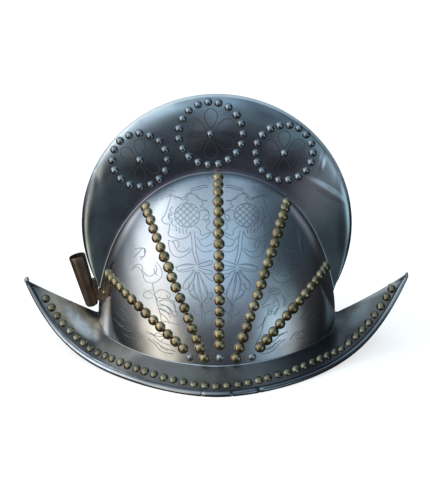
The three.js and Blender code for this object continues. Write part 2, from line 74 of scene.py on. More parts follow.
def vectorOf(tree, operation, *values):
    outputs = addNode(tree, "ShaderNodeVectorMath", dict(enumerate(values)), operation=operation).outputs
    return outputs["Value" if operation in ("LENGTH", "DISTANCE", "DOT_PRODUCT") else "Vector"]


def noiseOf(tree, place, scale, detail, roughness=0.55, distortion=0.0):
    inputs = {"Vector": place, "Scale": scale, "Detail": detail}
    inputs.update({"Roughness": roughness, "Distortion": distortion})
    return addNode(tree, "ShaderNodeTexNoise", inputs).outputs["Fac"]


def rangeOf(tree, value, fromLow, fromHigh, toLow, toHigh, **attributes):
    inputs = {"Value": value, "From Min": fromLow, "From Max": fromHigh, "To Min": toLow, "To Max": toHigh}
    return addNode(tree, "ShaderNodeMapRange", inputs, **attributes).outputs["Result"]


def mixOf(tree, share, first, second):  # the node's colour sockets are inputs 6 and 7, output 2
    return addNode(tree, "ShaderNodeMix", {0: share, 6: first, 7: second}, data_type="RGBA").outputs[2]


def bumpOf(tree, distance, height, **normal):
    inputs = {"Strength": 1.0, "Distance": distance, "Height": height, **normal}
    return addNode(tree, "ShaderNodeBump", inputs).outputs["Normal"]


def splitOf(tree, place):
    parts = addNode(tree, "ShaderNodeSeparateXYZ", {"Vector": place}).outputs
    return parts, mathOf(tree, "ABSOLUTE", parts["Y"])


def moundOf(tree, place, x, z, turn, long, wide, plateau=0.0):  # 1 in the middle of an oval, 0 outside it
    inputs = {"Vector": place, "Location": (x * mm, 0, z * mm)}
    inputs.update({"Rotation": (0, -math.radians(turn), 0), "Scale": (long * mm, 1, wide * mm)})
    near = addNode(tree, "ShaderNodeMapping", inputs, vector_type="TEXTURE").outputs["Vector"]
    away = vectorOf(tree, "LENGTH", near)
    return rangeOf(tree, away, plateau, 1, 1, 0, interpolation_type="SMOOTHSTEP")


def sumOf(tree, terms):
    total = 0.0
    for value, share in terms:
        total = mathOf(tree, "MULTIPLY_ADD", value, share, total)
    return total


def moundSum(tree, place, spots, scale=1, plateau=0.0):
    return sumOf(tree, [(moundOf(tree, place, *spot[:5], plateau), spot[5] * scale) for spot in spots])


wear = {  # noise detail, roughness, distortion, the ranges that tone, stains and polish follow, and the unevenness and soft edge of the painted light and shade patches
    "patchNoise": (6, 0.6, 0.4), "speckNoise": (3, 0.7), "grainDetail": 4, "dentDetail": 1.5,
    "toneRange": (0.35, 0.68), "stainRange": (0.6, 0.78), "roughRange": (0.3, 0.7),
    "planNoise": (70, 4, 0.6, 0.6), "planRange": (0.35, 0.6, 0.55, 1), "plateau": 0.3,
}


def planTone(tree, place, tone, look):  # patches of painted light and shade laid on from above, the same on both sides
    parts, aside = splitOf(tree, place)
    plan = addNode(tree, "ShaderNodeCombineXYZ", {"X": parts["X"], "Z": aside}).outputs[0]
    uneven = rangeOf(tree, noiseOf(tree, place, *wear["planNoise"]), *wear["planRange"])
    for *spot, share, colour in look["planLightAndShade"]:
        worn = mathOf(tree, "MULTIPLY", moundOf(tree, plan, *spot, wear["plateau"]), uneven)
        tone = mixOf(tree, sumOf(tree, [(worn, share)]), tone, colour)
    return tone


def combTone(tree, place, patches, look):  # tone, relief and metal share of the skull and comb, with painted highlights and painted shade on the comb and painted shade on the dome beside it
    parts, aside = splitOf(tree, place)
    half = look["combHalf"] * mm
    onComb = rangeOf(tree, aside, half, half * look["combSoft"], 0, 1)
    flat = vectorOf(tree, "MULTIPLY", place, (1, 0, 1))
    fromCentre = vectorOf(tree, "DISTANCE", flat, (0, 0, look["combCentre"] * mm))

    def bandOf(start, end, toLow, toHigh):
        radius = look["combRadius"]
        return rangeOf(tree, fromCentre, (radius - start) * mm, (radius - end) * mm, toLow, toHigh)

    # painted shade: the comb's steel is toned darker than the dome's, and lighter towards the rim
    shade = mathOf(tree, "ADD", patches, bandOf(*look["combFade"]))
    deep = mixOf(tree, rangeOf(tree, shade, *look["combRange"], 0, 1), look["combLight"], look["combDark"])
    # painted highlight: a bright band along the comb's rim, growing upward; the same band also lowers the
    # metal share
    low, top = look["rimRise"]
    high = rangeOf(tree, parts["Z"], low * mm, top * mm, 0, 1)
    rim = mathOf(tree, "MULTIPLY", bandOf(*look["rimBand"], 0, 1), high)
    # painted highlights: bright spots laid on the comb, the rosettes among them
    tone = mixOf(tree, moundSum(tree, flat, look["combHighlightSpots"]), deep, look["combHighlightColour"])
    shaded = moundSum(tree, flat, look["combShades"], 1, wear["plateau"])
    tone = mixOf(tree, shaded, tone, look["combDeep"])
    tone = mixOf(tree, rim, tone, look["combHighlightColour"])
    # painted shade in the crease at the comb's root
    crease, width, share = look["crease"]
    creased = rangeOf(tree, aside, crease * mm, (crease + width) * mm, 0, share)
    tone = mixOf(tree, creased, tone, look["combDeep"])
    onDome = moundSum(tree, flat, look["domeMounds"], mm)
    raised = moundSum(tree, flat, look["combMounds"], mm)
    relief = addNode(tree, "ShaderNodeMix", {0: onComb, 2: onDome, 3: raised}).outputs[0]
    dull = moundSum(tree, flat, look["combDull"])
    loss = mathOf(tree, "MULTIPLY", sumOf(tree, [(rim, look["rimDull"]), (dull, 1.0)]), onComb)
    near, far, share = look["rootShade"]
    beside = rangeOf(tree, aside, near * mm, far * mm, share, 1)
    return mixOf(tree, onComb, beside, tone), relief, rangeOf(tree, loss, 0, 1, 1, 0)


def metalMaterial(name, look):
    material = bpy.data.materials.new(name)
    material.use_nodes = True
    tree = material.node_tree
    shader = tree.nodes["Principled BSDF"]
    place = addNode(tree, "ShaderNodeTexCoord", {}).outputs["Object"]
    stretch = {"Vector": place, "Scale": look["grainStretch"]}
    stretched = addNode(tree, "ShaderNodeMapping", stretch).outputs["Vector"]
    patches = noiseOf(tree, place, look["patchScale"], *wear["patchNoise"])
    grain = noiseOf(tree, stretched, look["grainScale"], wear["grainDetail"])
    dents = noiseOf(tree, place, look["dentScale"], wear["dentDetail"])
    specks = noiseOf(tree, place, look["speckScale"], *wear["speckNoise"])
    tone = mixOf(tree, rangeOf(tree, patches, *wear["toneRange"], 0, 1), look["light"], look["dark"])
    if "planLightAndShade" in look:
        tone = planTone(tree, place, tone, look)
    tone = mixOf(tree, rangeOf(tree, specks, *wear["stainRange"], 0, look["stainShare"]), tone, look["stain"])
    rough = rangeOf(tree, patches, *wear["roughRange"], look["roughLow"], look["roughHigh"])
    streaks = rangeOf(tree, grain, *wear["roughRange"], -look["grainRough"], look["grainRough"])
    normal = bumpOf(tree, look["dentDepth"], dents)
    shader.inputs["Metallic"].default_value = look["metallic"]
    if "combMounds" in look:
        combColour, relief, metallic = combTone(tree, place, patches, look)
        tree.links.new(metallic, shader.inputs["Metallic"])
        tone = vectorOf(tree, "MULTIPLY", tone, combColour)
        normal = bumpOf(tree, 1.0, relief, Normal=normal)
    normal = bumpOf(tree, look["grainDepth"], grain, Normal=normal)
    tree.links.new(tone, shader.inputs["Base Color"])
    tree.links.new(mathOf(tree, "ADD", rough, streaks), shader.inputs["Roughness"])
    tree.links.new(normal, shader.inputs["Normal"])
    return material


steelLook = {
    "light": (0.66, 0.70, 0.72, 1), "dark": (0.55, 0.53, 0.57, 1), "stain": (0.30, 0.27, 0.25, 1),
    "stainShare": 0.35, "metallic": 1.0, "roughLow": 0.13, "roughHigh": 0.21, "grainRough": 0.03,
    "patchScale": 16, "speckScale": 120, "dentScale": 17, "dentDepth": 0.0030,
    "grainStretch": (1, 1, 0.12), "grainScale": 700, "grainDepth": 0.00002,
}
skullLook = {  # spots: place along and up, turn, length, width, share or height
    **steelLook, "combHalf": 8.6, "combSoft": 0.8, "combRadius": 120.8, "combCentre": 114.3,
    "combFade": (46, 8, 0.2, -0.2), "combRange": (0.38, 0.66), "rimBand": (2.6, 1.2), "rimRise": (125, 215),
    "rimDull": 0.45, "crease": (6.1, 0.2, 0.85), "rootShade": (7, 16.5, 0.15),
    "combLight": (0.68, 0.81, 0.82, 1), "combDark": (0.48, 0.44, 0.50, 1),
    "combHighlightColour": (0.95, 1.0, 1.0, 1), "combDeep": (0.24, 0.25, 0.27, 1),
    # painted highlights on the comb
    "combHighlightSpots": (
        (-52, 216, 32, 40, 13, 0.55), (-88, 186, 52, 24, 12, 0.1), (98, 180, -55, 30, 9, 0.6),
        (96, 150, -33, 26, 7, 0.8), (92, 150, 60, 60, 32, 0.95), (8, 213, 0, 34, 9, 0.3),
        (-5.2, 200.8, 0, 27, 27, 0.16), (-67.5, 177, 0, 24, 24, 0.22), (58.9, 183.6, 0, 24, 24, 0.18),
    ),
    "combShades": (
        (48, 223, -23, 55, 17, 0.9), (-20, 231, 0, 45, 9, 0.5), (-78, 212, 42, 30, 8, 0.3),
        (-19, 200, 8, 12, 5, 0.5), (9, 201, -8, 12, 5, 0.5), (-5, 188, 0, 24, 11, 0.35),
        (-66, 168, 0, 20, 10, 0.3), (59, 173, 0, 20, 11, 0.35), (-115, 128, 84, 50, 8, 0.75),
        (-100, 166, 62, 28, 9, 0.6), (113, 106, -84, 34, 8, 0.6),
    ),
    "combDull": ((84, 148, 60, 66, 40, 0.11), (-8, 205, 10, 60, 26, 0.03)),
    "domeMounds": ((72.8, 112, -76, 13, 1.7, 0.5),),
    "combMounds": (
        (-5.2, 200.8, 0, 25, 25, 1.3), (-67.5, 177.0, 0, 21, 21, 1.1), (58.9, 183.6, 0, 22, 22, 1.1),
        (96, 150, -33, 24, 6, 1.2), (92, 175, 80, 12, 4, 0.7),
    ),
}
# painted shade: the brim steel is a much darker copy of the skull steel
brimLightAndShadeLook = {
    **steelLook, "light": (0.20, 0.191, 0.184, 1), "dark": (0.075, 0.072, 0.072, 1),
    "stain": (0.22, 0.175, 0.125, 1), "stainShare": 0.6, "roughLow": 0.24, "roughHigh": 0.4,
    "patchScale": 20, "speckScale": 45,
    "planLightAndShade": (  # painted highlights and painted shade, some tinted warm or blue: place along and across, turn, length, width, share, colour
        (-132, 5, 25, 42, 18, 1.0, (0.56, 0.43, 0.31, 1)), (-122, 17, 40, 26, 8, 1.0, (0.84, 0.79, 0.76, 1)),
        (150, 0, 0, 34, 3, 0.7, (0.45, 0.46, 0.46, 1)), (128, 10, -40, 18, 8, 0.6, (0.22, 0.27, 0.29, 1)),
        (86, 60, -38, 52, 20, 0.65, (0.085, 0.083, 0.093, 1)),
        (-22, 96, 0, 44, 14, 0.45, (0.28, 0.26, 0.22, 1)),
    ),
}
# painted shade: the roll steel is a darker copy of the skull steel
rollLightAndShadeLook = {
    **steelLook, "light": (0.33, 0.345, 0.36, 1), "dark": (0.17, 0.175, 0.185, 1),
    "roughLow": 0.14, "roughHigh": 0.24,
    # painted highlight over the roll's rear part
    "planLightAndShade": ((-125, 62, 35, 75, 60, 0.8, (0.74, 0.76, 0.79, 1)),),
}
beadLook = {
    **steelLook, "light": (0.70, 0.72, 0.74, 1), "dark": (0.34, 0.34, 0.35, 1),
    "roughLow": 0.2, "roughHigh": 0.32,
}
# painted shade: a near-black tube laid in the recess between the brim and its roll; it keeps the roll's
# painted highlight at the rear
grooveShadeLook = {
    **rollLightAndShadeLook, "light": (0.07, 0.075, 0.085, 1), "dark": (0.03, 0.032, 0.036, 1),
    "roughLow": 0.35, "roughHigh": 0.5,
}
rivetLook = {
    "light": (0.46, 0.48, 0.51, 1), "dark": (0.26, 0.27, 0.30, 1), "stain": (0.12, 0.10, 0.09, 1),
    "stainShare": 0.6, "metallic": 1.0, "roughLow": 0.22, "roughHigh": 0.36, "grainRough": 0.05,
    "patchScale": 60, "speckScale": 400, "dentScale": 180, "dentDepth": 0.0003,
    "grainStretch": (1, 1, 1), "grainScale": 900, "grainDepth": 0.00002,
}
rosetteLook = {
    **rivetLook, "light": (0.34, 0.37, 0.40, 1), "dark": (0.20, 0.22, 0.24, 1),
    "roughLow": 0.1, "roughHigh": 0.18,
}
brassLook = {
    **rivetLook, "light": (0.47, 0.385, 0.235, 1), "dark": (0.20, 0.145, 0.08, 1),
    "stain": (0.10, 0.055, 0.028, 1), "stainShare": 0.7, "roughLow": 0.18, "roughHigh": 0.32,
    "grainRough": 0.06, "patchScale": 70, "speckScale": 420, "dentScale": 200, "dentDepth": 0.0004,
    "grainDepth": 0.00003,
}
# painted shade: the brim studs' brass is a darker copy of the skull studs' brass
edgeBrassShadeLook = {
    **brassLook, "light": (0.35, 0.31, 0.21, 1), "dark": (0.13, 0.105, 0.065, 1),
    "roughLow": 0.14, "roughHigh": 0.26,
}
bronzeLook = {
    **brassLook, "light": (0.20, 0.14, 0.10, 1), "dark": (0.09, 0.065, 0.05, 1),
    "stain": (0.26, 0.12, 0.07, 1), "stainShare": 0.5, "metallic": 0.9, "roughLow": 0.26, "roughHigh": 0.44,
    "grainRough": 0.08, "patchScale": 45, "speckScale": 160, "dentScale": 60, "dentDepth": 0.0006,
    "grainStretch": (1, 1, 0.1),
}
plateLook = {
    **bronzeLook, "light": (0.36, 0.27, 0.16, 1), "dark": (0.20, 0.145, 0.085, 1),
    "stain": (0.40, 0.19, 0.09, 1),
}
lineLook = {
    **rivetLook, "light": (0.34, 0.38, 0.42, 1), "dark": (0.22, 0.24, 0.27, 1),
    "stain": (0.26, 0.22, 0.18, 1), "stainShare": 0.5, "roughLow": 0.3, "roughHigh": 0.45,
    "speckScale": 300, "dentScale": 90, "dentDepth": 0.0002,
}
petalLook = {
    **lineLook, "light": (0.20, 0.21, 0.23, 1), "dark": (0.13, 0.135, 0.15, 1),
}
skullSteel = metalMaterial("skull steel", skullLook)
brimLightAndShadeSteel = metalMaterial("brim steel painted light and shade", brimLightAndShadeLook)
rollLightAndShadeSteel = metalMaterial("roll steel painted light and shade", rollLightAndShadeLook)
beadSteel = metalMaterial("bead steel", beadLook)
grooveShadeSteel = metalMaterial("groove painted shade", grooveShadeLook)
rivetSteel = metalMaterial("rivet steel", rivetLook)
rosetteSteel = metalMaterial("rosette steel", rosetteLook)
brass = metalMaterial("brass", brassLook)
edgeBrassShade = metalMaterial("edge brass painted shade", edgeBrassShadeLook)
bronze = metalMaterial("bronze", bronzeLook)
plateBronze = metalMaterial("plate bronze", plateLook)
lineSteel = metalMaterial("engraved steel", lineLook)
petalSteel = metalMaterial("petal lines", petalLook)
print("materials ready")


# pieces

weldReach = 1e-6


def weld(shape):
    bmesh.ops.remove_doubles(shape, verts=shape.verts[:], dist=weldReach)


def turnOut(shape):
    bmesh.ops.recalc_face_normals(shape, faces=shape.faces[:])


def mirrorOver(shape, reach):
    everything = shape.verts[:] + shape.edges[:] + shape.faces[:]
    bmesh.ops.mirror(shape, geom=everything, matrix=Matrix.Identity(4), merge_dist=reach, axis="Y")


def meshOf(name, shape):
    mesh = bpy.data.meshes.new(name)
    shape.to_mesh(mesh)
    shape.free()
    return mesh


def placed(name, data, inMirrors=True):
    thing = bpy.data.objects.new(name, data)
    thing.visible_glossy = inMirrors
    bpy.context.scene.collection.objects.link(thing)
    return thing


def addPiece(name, shape, material, nodes=(), sharpAngle=60, inMirrors=True):
    turnOut(shape)
    mesh = meshOf(name, shape)
    mesh.shade_smooth()
    mesh.set_sharp_from_angle(angle=math.radians(sharpAngle))
    mesh.materials.append(material)
    piece = placed(name, mesh, inMirrors)
    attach(piece, "root")
    if nodes:
        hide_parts(*nodes)


def mappedGrid(shape, rows, columns, placeAt):
    for vert in bmesh.ops.create_grid(shape, x_segments=rows, y_segments=columns, size=0.5)["verts"]:
        row = round((vert.co.x + 0.5) * rows)
        column = round((vert.co.y + 0.5) * columns)
        vert.co = placeAt(row, column) * mm


def joinedCopies(template, matrices):
    shape = bmesh.new()
    for matrix in matrices:
        first = len(shape.verts)
        shape.from_mesh(template)
        shape.verts.ensure_lookup_table()
        bmesh.ops.transform(shape, matrix=matrix, verts=shape.verts[first:])
    return shape


def spunMesh(name, profile, sides):
    shape = bmesh.new()
    verts = [shape.verts.new((radius * mm, 0, height * mm)) for radius, height in profile]
    for first, second in zip(verts, verts[1:]):
        shape.edges.new((first, second))
    turning = {"cent": (0, 0, 0), "axis": (0, 0, 1), "angle": 2 * math.pi, "steps": sides, "use_merge": True}
    bmesh.ops.spin(shape, geom=shape.verts[:] + shape.edges[:], **turning)
    weld(shape)
    turnOut(shape)
    return meshOf(name, shape)


# skull and comb

skull = {
    "halfLength": 107.8, "halfWidth": 86, "rise": 151.8, "jointSide": 15.5, "jointEnd": 31,
    "jointPower": 0.74, "jointDip": 3.7, "jointDipAt": 0.3, "wall": 1.2,
    "rows": 150, "domeColumns": 38, "filletColumns": 6, "combColumns": 26,
}
comb = {
    "radius": 120.8, "centreHeight": 114.3, "rootHalf": 6.2, "fillet": 0.7, "filletStartHalf": 6.9,
    "filletTaper": 0.98, "springHeight": 5, "bulge": 7, "seamRise": 0.05, "farReach": 2.5, "halvings": 40,
}


def jointHeight(x):
    along = min(abs(x) / skull["halfLength"], 1)
    aside = math.sqrt(1 - along * along)
    climb = (skull["jointEnd"] - skull["jointSide"]) * (1 - aside) ** skull["jointPower"]
    dipPlace = (aside / skull["jointDipAt"]) ** 2
    return skull["jointSide"] + climb - skull["jointDip"] * dipPlace * math.exp(1 - dipPlace)


def footHeight(x):
    return jointHeight(x) - skull["wall"]


def domeHalf(x, z):
    left = 1 - (x / skull["halfLength"]) ** 2 - ((z - footHeight(x)) / skull["rise"]) ** 2
    return skull["halfWidth"] * math.sqrt(max(left, 0))


def combReach(rayX, rayRise, domeReach):
    def fromCentre(reach):
        x = rayX * reach
        return math.hypot(x, rayRise * reach + footHeight(x) - comb["centreHeight"])
    if fromCentre(domeReach) > comb["radius"]:
        return domeReach
    low, high = domeReach, comb["farReach"] * domeReach
    for step in range(comb["halvings"]):
        middle = (low + high) / 2
        if fromCentre(middle) < comb["radius"]:
            low = middle
        else:
            high = middle
    return low


def shellSection(turn):
    rayX, rayRise = math.cos(turn), math.sin(turn)
    domeReach = 1 / math.hypot(rayX / skull["halfLength"], rayRise / skull["rise"])
    rimReach = combReach(rayX, rayRise, domeReach)
    combHeight = rimReach - domeReach
    combShare = smoothStep(combHeight / comb["springHeight"])
    fillet = comb["fillet"] * min(1, combHeight / comb["springHeight"])
    lastTurn = math.acos(comb["filletStartHalf"] / skull["halfWidth"])

    def onDome(angle):
        return domeReach * math.sin(angle), skull["halfWidth"] * math.cos(angle)

    start = onDome(lastTurn)
    root = (domeReach, comb["rootHalf"])
    filletEnd = (domeReach + fillet, comb["rootHalf"] * comb["filletTaper"])
    raised = []
    for step in range(1, skull["filletColumns"] + 1):
        share = step / skull["filletColumns"]
        corners = zip(start, root, filletEnd)
        raised.append(tuple(lerp(lerp(a, b, share), lerp(b, c, share), share) for a, b, c in corners))
    for step in range(1, skull["combColumns"] + 1):
        share = 1 - (1 - step / skull["combColumns"]) ** 2
        half = filletEnd[1] * math.sqrt(1 - share ** comb["bulge"])
        raised.append((lerp(filletEnd[0], rimReach, share), half))
    section = [onDome(lastTurn * step / skull["domeColumns"]) for step in range(skull["domeColumns"] + 1)]
    for index, (reach, half) in enumerate(raised):
        plainReach, plainHalf = onDome(lerp(lastTurn, math.pi / 2, (index + 1) / len(raised)))
        section.append((lerp(plainReach, reach, combShare), lerp(plainHalf, half, combShare)))
    section[-1] = (section[-1][0], 0)
    places = []
    for reach, half in section:
        x = rayX * reach
        places.append(Vector((x, -half, rayRise * reach + footHeight(x))))
    return places


shellRows = [shellSection(math.pi * row / skull["rows"]) for row in range(skull["rows"] + 1)]
shell = bmesh.new()
mappedGrid(shell, skull["rows"], len(shellRows[0]) - 1, lambda row, column: shellRows[row][column])
weld(shell)
turnOut(shell)
shellTree = BVHTree.FromBMesh(shell)
mirrorOver(shell, weldReach)
weld(shell)
turnOut(shell)


def aboveDome(face):
    x, y, z = face.calc_center_median() / mm
    return abs(y) > domeHalf(x, z) + comb["seamRise"]


combShell = shell.copy()
bmesh.ops.delete(combShell, geom=[face for face in combShell.faces if not aboveDome(face)], context="FACES")
bmesh.ops.delete(shell, geom=[face for face in shell.faces if aboveDome(face)], context="FACES")
for shape in (shell, combShell):
    bmesh.ops.solidify(shape, geom=shape.faces[:], thickness=skull["wall"] * mm)
addPiece("skullShell", shell, skullSteel, ("skull_right", "skull_left"))
addPiece("combShell", combShell, skullSteel, inMirrors=False)
print("skull and comb ready")


# brim

brim = {
    "halfLength": 172.2, "halfWidth": 114.2, "planPower": 1.8, "peakPower": 1.3, "dish": 1.5, "gap": 0.3,
    "frontRisePower": 5.7, "rearRisePower": 6.2, "frontTip": 69.4, "rearTip": 62.8, "frontCurve": 7.5,
    "rearCurve": 3, "ridgeHalf": 5, "steps": 240, "shares": 16, "edgeShare": 0.9, "smoothing": 4,
    "smoothShare": 0.5, "tipSlack": 0.2, "nudge": 1e-3, "leastWidth": 1e-4,
}
edgeRoll = {
    "radius": 2.75, "thick": 2.4, "tip": 1.0, "wear": 0.12, "sides": 16, "thinUntil": 0.3, "drop": 0.8,
    "dropUntil": 0.15, "closeUntil": 0.03, "notches": (-12.6, 12.9, 36.0), "notchDepth": 0.22,
    "notchHalf": 0.6, "notchRows": (-0.9, -0.45, 0.45, 0.9),
    "grooveRadius": 0.55, "grooveSides": 6, "grooveUp": 0.62, "grooveIn": 0.9,
}
footBead = {
    "radius": 0.75, "end": 0.25, "sides": 8, "lift": 0.15, "thinUntil": 0.74, "blend": 0.2,
    "knobRadius": 2.3, "knobStretch": 1.4,
}
ball = {"u_segments": 16, "v_segments": 10}


def edgeAt(x):
    share = min(abs(x) / brim["halfLength"], 1)
    end = "front" if x > 0 else "rear"
    tip, power = brim[end + "Tip"], brim[end + "RisePower"]
    side = edgeRoll["radius"] - edgeRoll["wear"]
    half = brim["halfWidth"] * (1 - share ** brim["planPower"]) ** brim["peakPower"]
    return half, side + (tip - side) * share ** power


def ridgeHeight(x):
    share = (abs(x) - skull["halfLength"]) / (brim["halfLength"] - skull["halfLength"])
    end = "front" if x > 0 else "rear"
    tip, curve = brim[end + "Tip"], brim[end + "Curve"]
    return skull["jointEnd"] + (tip - skull["jointEnd"] - curve) * share + curve * share ** 2


def brimHeight(x, y):
    beside = abs(x) < skull["halfLength"]
    innerHalf = skull["halfWidth"] * math.sqrt(1 - (x / skull["halfLength"]) ** 2) if beside else 0
    innerHeight = jointHeight(x) if beside else ridgeHeight(x)
    half, height = edgeAt(x)
    share = min(max((abs(y) - innerHalf) / max(half - innerHalf, brim["leastWidth"]), 0), 1)
    return lerp(innerHeight, height, share) - 4 * brim["dish"] * share * (1 - share)


def brimEdge(turn):
    x = brim["halfLength"] * math.cos(turn)
    half, height = edgeAt(x)
    return Vector((x, math.copysign(half, math.sin(turn)), height))


def brimRoot(turn):
    x, y = math.cos(turn), math.sin(turn)
    height = jointHeight(skull["halfLength"] * x)
    gap = brim["gap"]
    return Vector(((skull["halfLength"] + gap) * x, (skull["halfWidth"] + gap) * y, height))


def brimPlace(turn, share):
    place = brimRoot(turn).lerp(brimEdge(turn), share)
    if share > 0:
        place.z = brimHeight(place.x, place.y)
    return place


def brimFrame(turn):
    outward = (brimEdge(turn) - brimPlace(turn, brim["edgeShare"])).normalized()
    nudge = brim["nudge"]
    if abs(math.sin(turn)) < nudge:
        tangent = Vector((0, math.copysign(1, math.cos(turn)), 0))
    else:
        tangent = (brimEdge(turn + nudge) - brimEdge(turn - nudge)).normalized()
    outward = (outward - tangent * outward.dot(tangent)).normalized()
    up = outward.cross(tangent)
    return outward, -up if up.z < 0 else up


brimTurns = [2 * math.pi * step / brim["steps"] for step in range(brim["steps"])]
notchTurns = [2 * math.pi - math.acos(x / brim["halfLength"]) for x in edgeRoll["notches"]]
for notch in notchTurns:
    brimTurns.extend(notch + offset / brim["halfLength"] for offset in edgeRoll["notchRows"])
brimTurns.sort()


def turnAt(row):
    return brimTurns[row % len(brimTurns)]


def rollAt(turn):
    aside = abs(math.sin(turn))
    outward, up = brimFrame(turn)
    width = lerp(edgeRoll["tip"], edgeRoll["thick"], smoothStep(aside / edgeRoll["thinUntil"]))
    drop = (edgeRoll["radius"] - width) * edgeRoll["drop"] * smoothStep(aside / edgeRoll["dropUntil"])
    width *= smoothStep(aside / edgeRoll["closeUntil"])
    return brimEdge(turn) + (outward - up) * drop, outward, up, width


def ringed(column, sides, outward, up):
    angle = 2 * math.pi * column / sides
    return outward * math.cos(angle) + up * math.sin(angle)


def rollPlace(row, column):
    turn = turnAt(row)
    middle, outward, up, width = rollAt(turn)
    if min(abs(turn - notch) for notch in notchTurns) * brim["halfLength"] < edgeRoll["notchHalf"]:
        width *= 1 - edgeRoll["notchDepth"]
    place = middle + ringed(column, edgeRoll["sides"], outward, up) * width
    place.z = max(place.z, 0)
    return place


def groovePlace(row, column):
    middle, outward, up, width = rollAt(turnAt(row))
    seat = middle + (up * edgeRoll["grooveUp"] - outward * edgeRoll["grooveIn"]) * width
    ring = ringed(column, edgeRoll["grooveSides"], outward, up)
    return seat + ring * min(edgeRoll["grooveRadius"], width)


def beadPlace(row, column):
    turn = turnAt(row)
    outward, up = Vector((math.cos(turn), math.sin(turn), 0)).normalized(), Vector((0, 0, 1))
    share = (abs(math.sin(turn)) - footBead["thinUntil"]) / footBead["blend"]
    width = lerp(footBead["end"], footBead["radius"], smoothStep(share))
    return brimRoot(turn) + up * footBead["lift"] + ringed(column, footBead["sides"], outward, up) * width


sheet = bmesh.new()
shares = brim["shares"]
mappedGrid(sheet, len(brimTurns), shares, lambda row, column: brimPlace(turnAt(row), column / shares))
weld(sheet)
ridgeHalf = brim["ridgeHalf"] * mm
inner = [vert for vert in sheet.verts if not vert.is_boundary and abs(vert.co.y) > ridgeHalf]
for step in range(brim["smoothing"]):
    bmesh.ops.smooth_vert(sheet, verts=inner, factor=brim["smoothShare"], use_axis_z=True)
turnOut(sheet)
sheet.faces.ensure_lookup_table()
if sheet.faces[0].normal.z < 0:
    bmesh.ops.reverse_faces(sheet, faces=sheet.faces[:])
brimTree = BVHTree.FromBMesh(sheet)
bmesh.ops.solidify(sheet, geom=sheet.faces[:], thickness=skull["wall"] * mm)
for vert in sheet.verts:  # the turned-in wall would stick out at the peaks
    if abs(vert.co.x) > (brim["halfLength"] + brim["tipSlack"]) * mm:
        tip = brimEdge(0 if vert.co.x > 0 else math.pi) * mm
        vert.co = tip - Vector((0, 0, skull["wall"] * mm))
addPiece("brimSheet", sheet, brimLightAndShadeSteel, ("brim",))
bead = bmesh.new()
mappedGrid(bead, len(brimTurns), footBead["sides"], beadPlace)
weld(bead)
knobPlace = Matrix.Translation(brimEdge(math.pi) * mm) @ Matrix.Scale(footBead["knobStretch"], 4, (0, 0, 1))
bmesh.ops.create_uvsphere(bead, **ball, radius=footBead["knobRadius"] * mm, matrix=knobPlace)
addPiece("footBead", bead, beadSteel, inMirrors=False)

roll = bmesh.new()
mappedGrid(roll, len(brimTurns), edgeRoll["sides"], rollPlace)
tipPlace = Matrix.Translation(brimEdge(0) * mm)
bmesh.ops.create_uvsphere(roll, **ball, radius=edgeRoll["tip"] * mm, matrix=tipPlace)
weld(roll)
addPiece("brimRoll", roll, rollLightAndShadeSteel, inMirrors=False)
# painted shade tube along the recess above the roll
groove = bmesh.new()
mappedGrid(groove, len(brimTurns), edgeRoll["grooveSides"], groovePlace)
weld(groove)
addPiece("brimGrooveShade", groove, grooveShadeSteel)
print("brim ready")


# studs and rivets

stud = {
    "radius": 4.95, "height": 4.1, "brimRadius": 4.0, "brimHeight": 3.0, "sides": 12, "tilt": 5.0,
    "sink": 0.25, "spread": 0.05, "shift": 0.25, "lean": 0.344, "far": 300, "pathSteps": 300,
    "rows": (  # number, count, start along and level, end along and level
        (1, 13, -28.9, 2.6, -97.0, 69.2), (2, 17, -10.8, -6.4, -62.5, 132.2), (3, 17, 2.4, 6.1, 1.0, 158.8),
        (4, 17, 16.7, -6.2, 61.4, 136.4), (5, 13, 37.3, 3.4, 97.0, 76.0),
    ),
    "profile": ((1, -0.2), (1, 0.06), (0.95, 0.36), (0.81, 0.64), (0.58, 0.85), (0.3, 0.96), (0, 1)),
    "brimCount": 44, "brimInset": 9.3, "rearInset": 7.0, "frontInset": 5.0, "insetUntil": 0.8,
    "brimRearTurn": 19.8, "brimFrontTurn": 17.5, "brimPathSteps": 400, "brimFar": 200,
}
rivet = {  # places: number, along, height
    "radius": 3.6, "height": 2.3, "sink": 0.2, "places": ((1, -23.1, 22.6), (2, 2.7, 23.6), (3, 30.7, 22.6)),
}


def headProfile(radius, height):
    return [(radius * out, height * up) for out, up in stud["profile"]]


def mirrored(place):
    return Vector((place.x, -place.y, place.z))


def seatMatrix(place, normal, sink):  # each head sits a little loose
    tilt = math.radians(stud["tilt"])
    turned = normal.to_track_quat("Z", "Y").to_matrix().to_4x4()
    shift = Vector((dice.uniform(-1, 1), dice.uniform(-1, 1), 0)) * stud["shift"] * mm
    lean = Matrix.Rotation(dice.uniform(-tilt, tilt), 4, "X")
    lean = lean @ Matrix.Rotation(dice.uniform(-tilt, tilt), 4, "Y")
    size = 1 + dice.uniform(-stud["spread"], stud["spread"])
    foot = Matrix.Translation(place - normal * sink * mm)
    return foot @ turned @ Matrix.Translation(shift) @ lean @ Matrix.Scale(size, 4)


def onShell(x, level):  # along the view's slope
    far, slope = stud["far"], stud["lean"]
    origin = Vector((x, -far, level + slope * far)) * mm
    return shellTree.ray_cast(origin, Vector((0, 1, -slope)).normalized())[:2]


def onComb(x, z):  # level, from the side
    return shellTree.ray_cast(Vector((x, -stud["far"], z)) * mm, Vector((0, 1, 0)))[:2]


def outwardOf(place, normal):
    return -normal if normal.y * place.y < 0 else normal


def evenly(path, count):
    runs = [0]
    for first, second in zip(path, path[1:]):
        runs.append(runs[-1] + (second[0] - first[0]).length)
    chosen = []
    for index in range(count):
        wanted = runs[-1] * index / (count - 1)
        step = min(range(len(runs)), key=lambda place: abs(runs[place] - wanted))
        chosen.append(path[step])
    return chosen


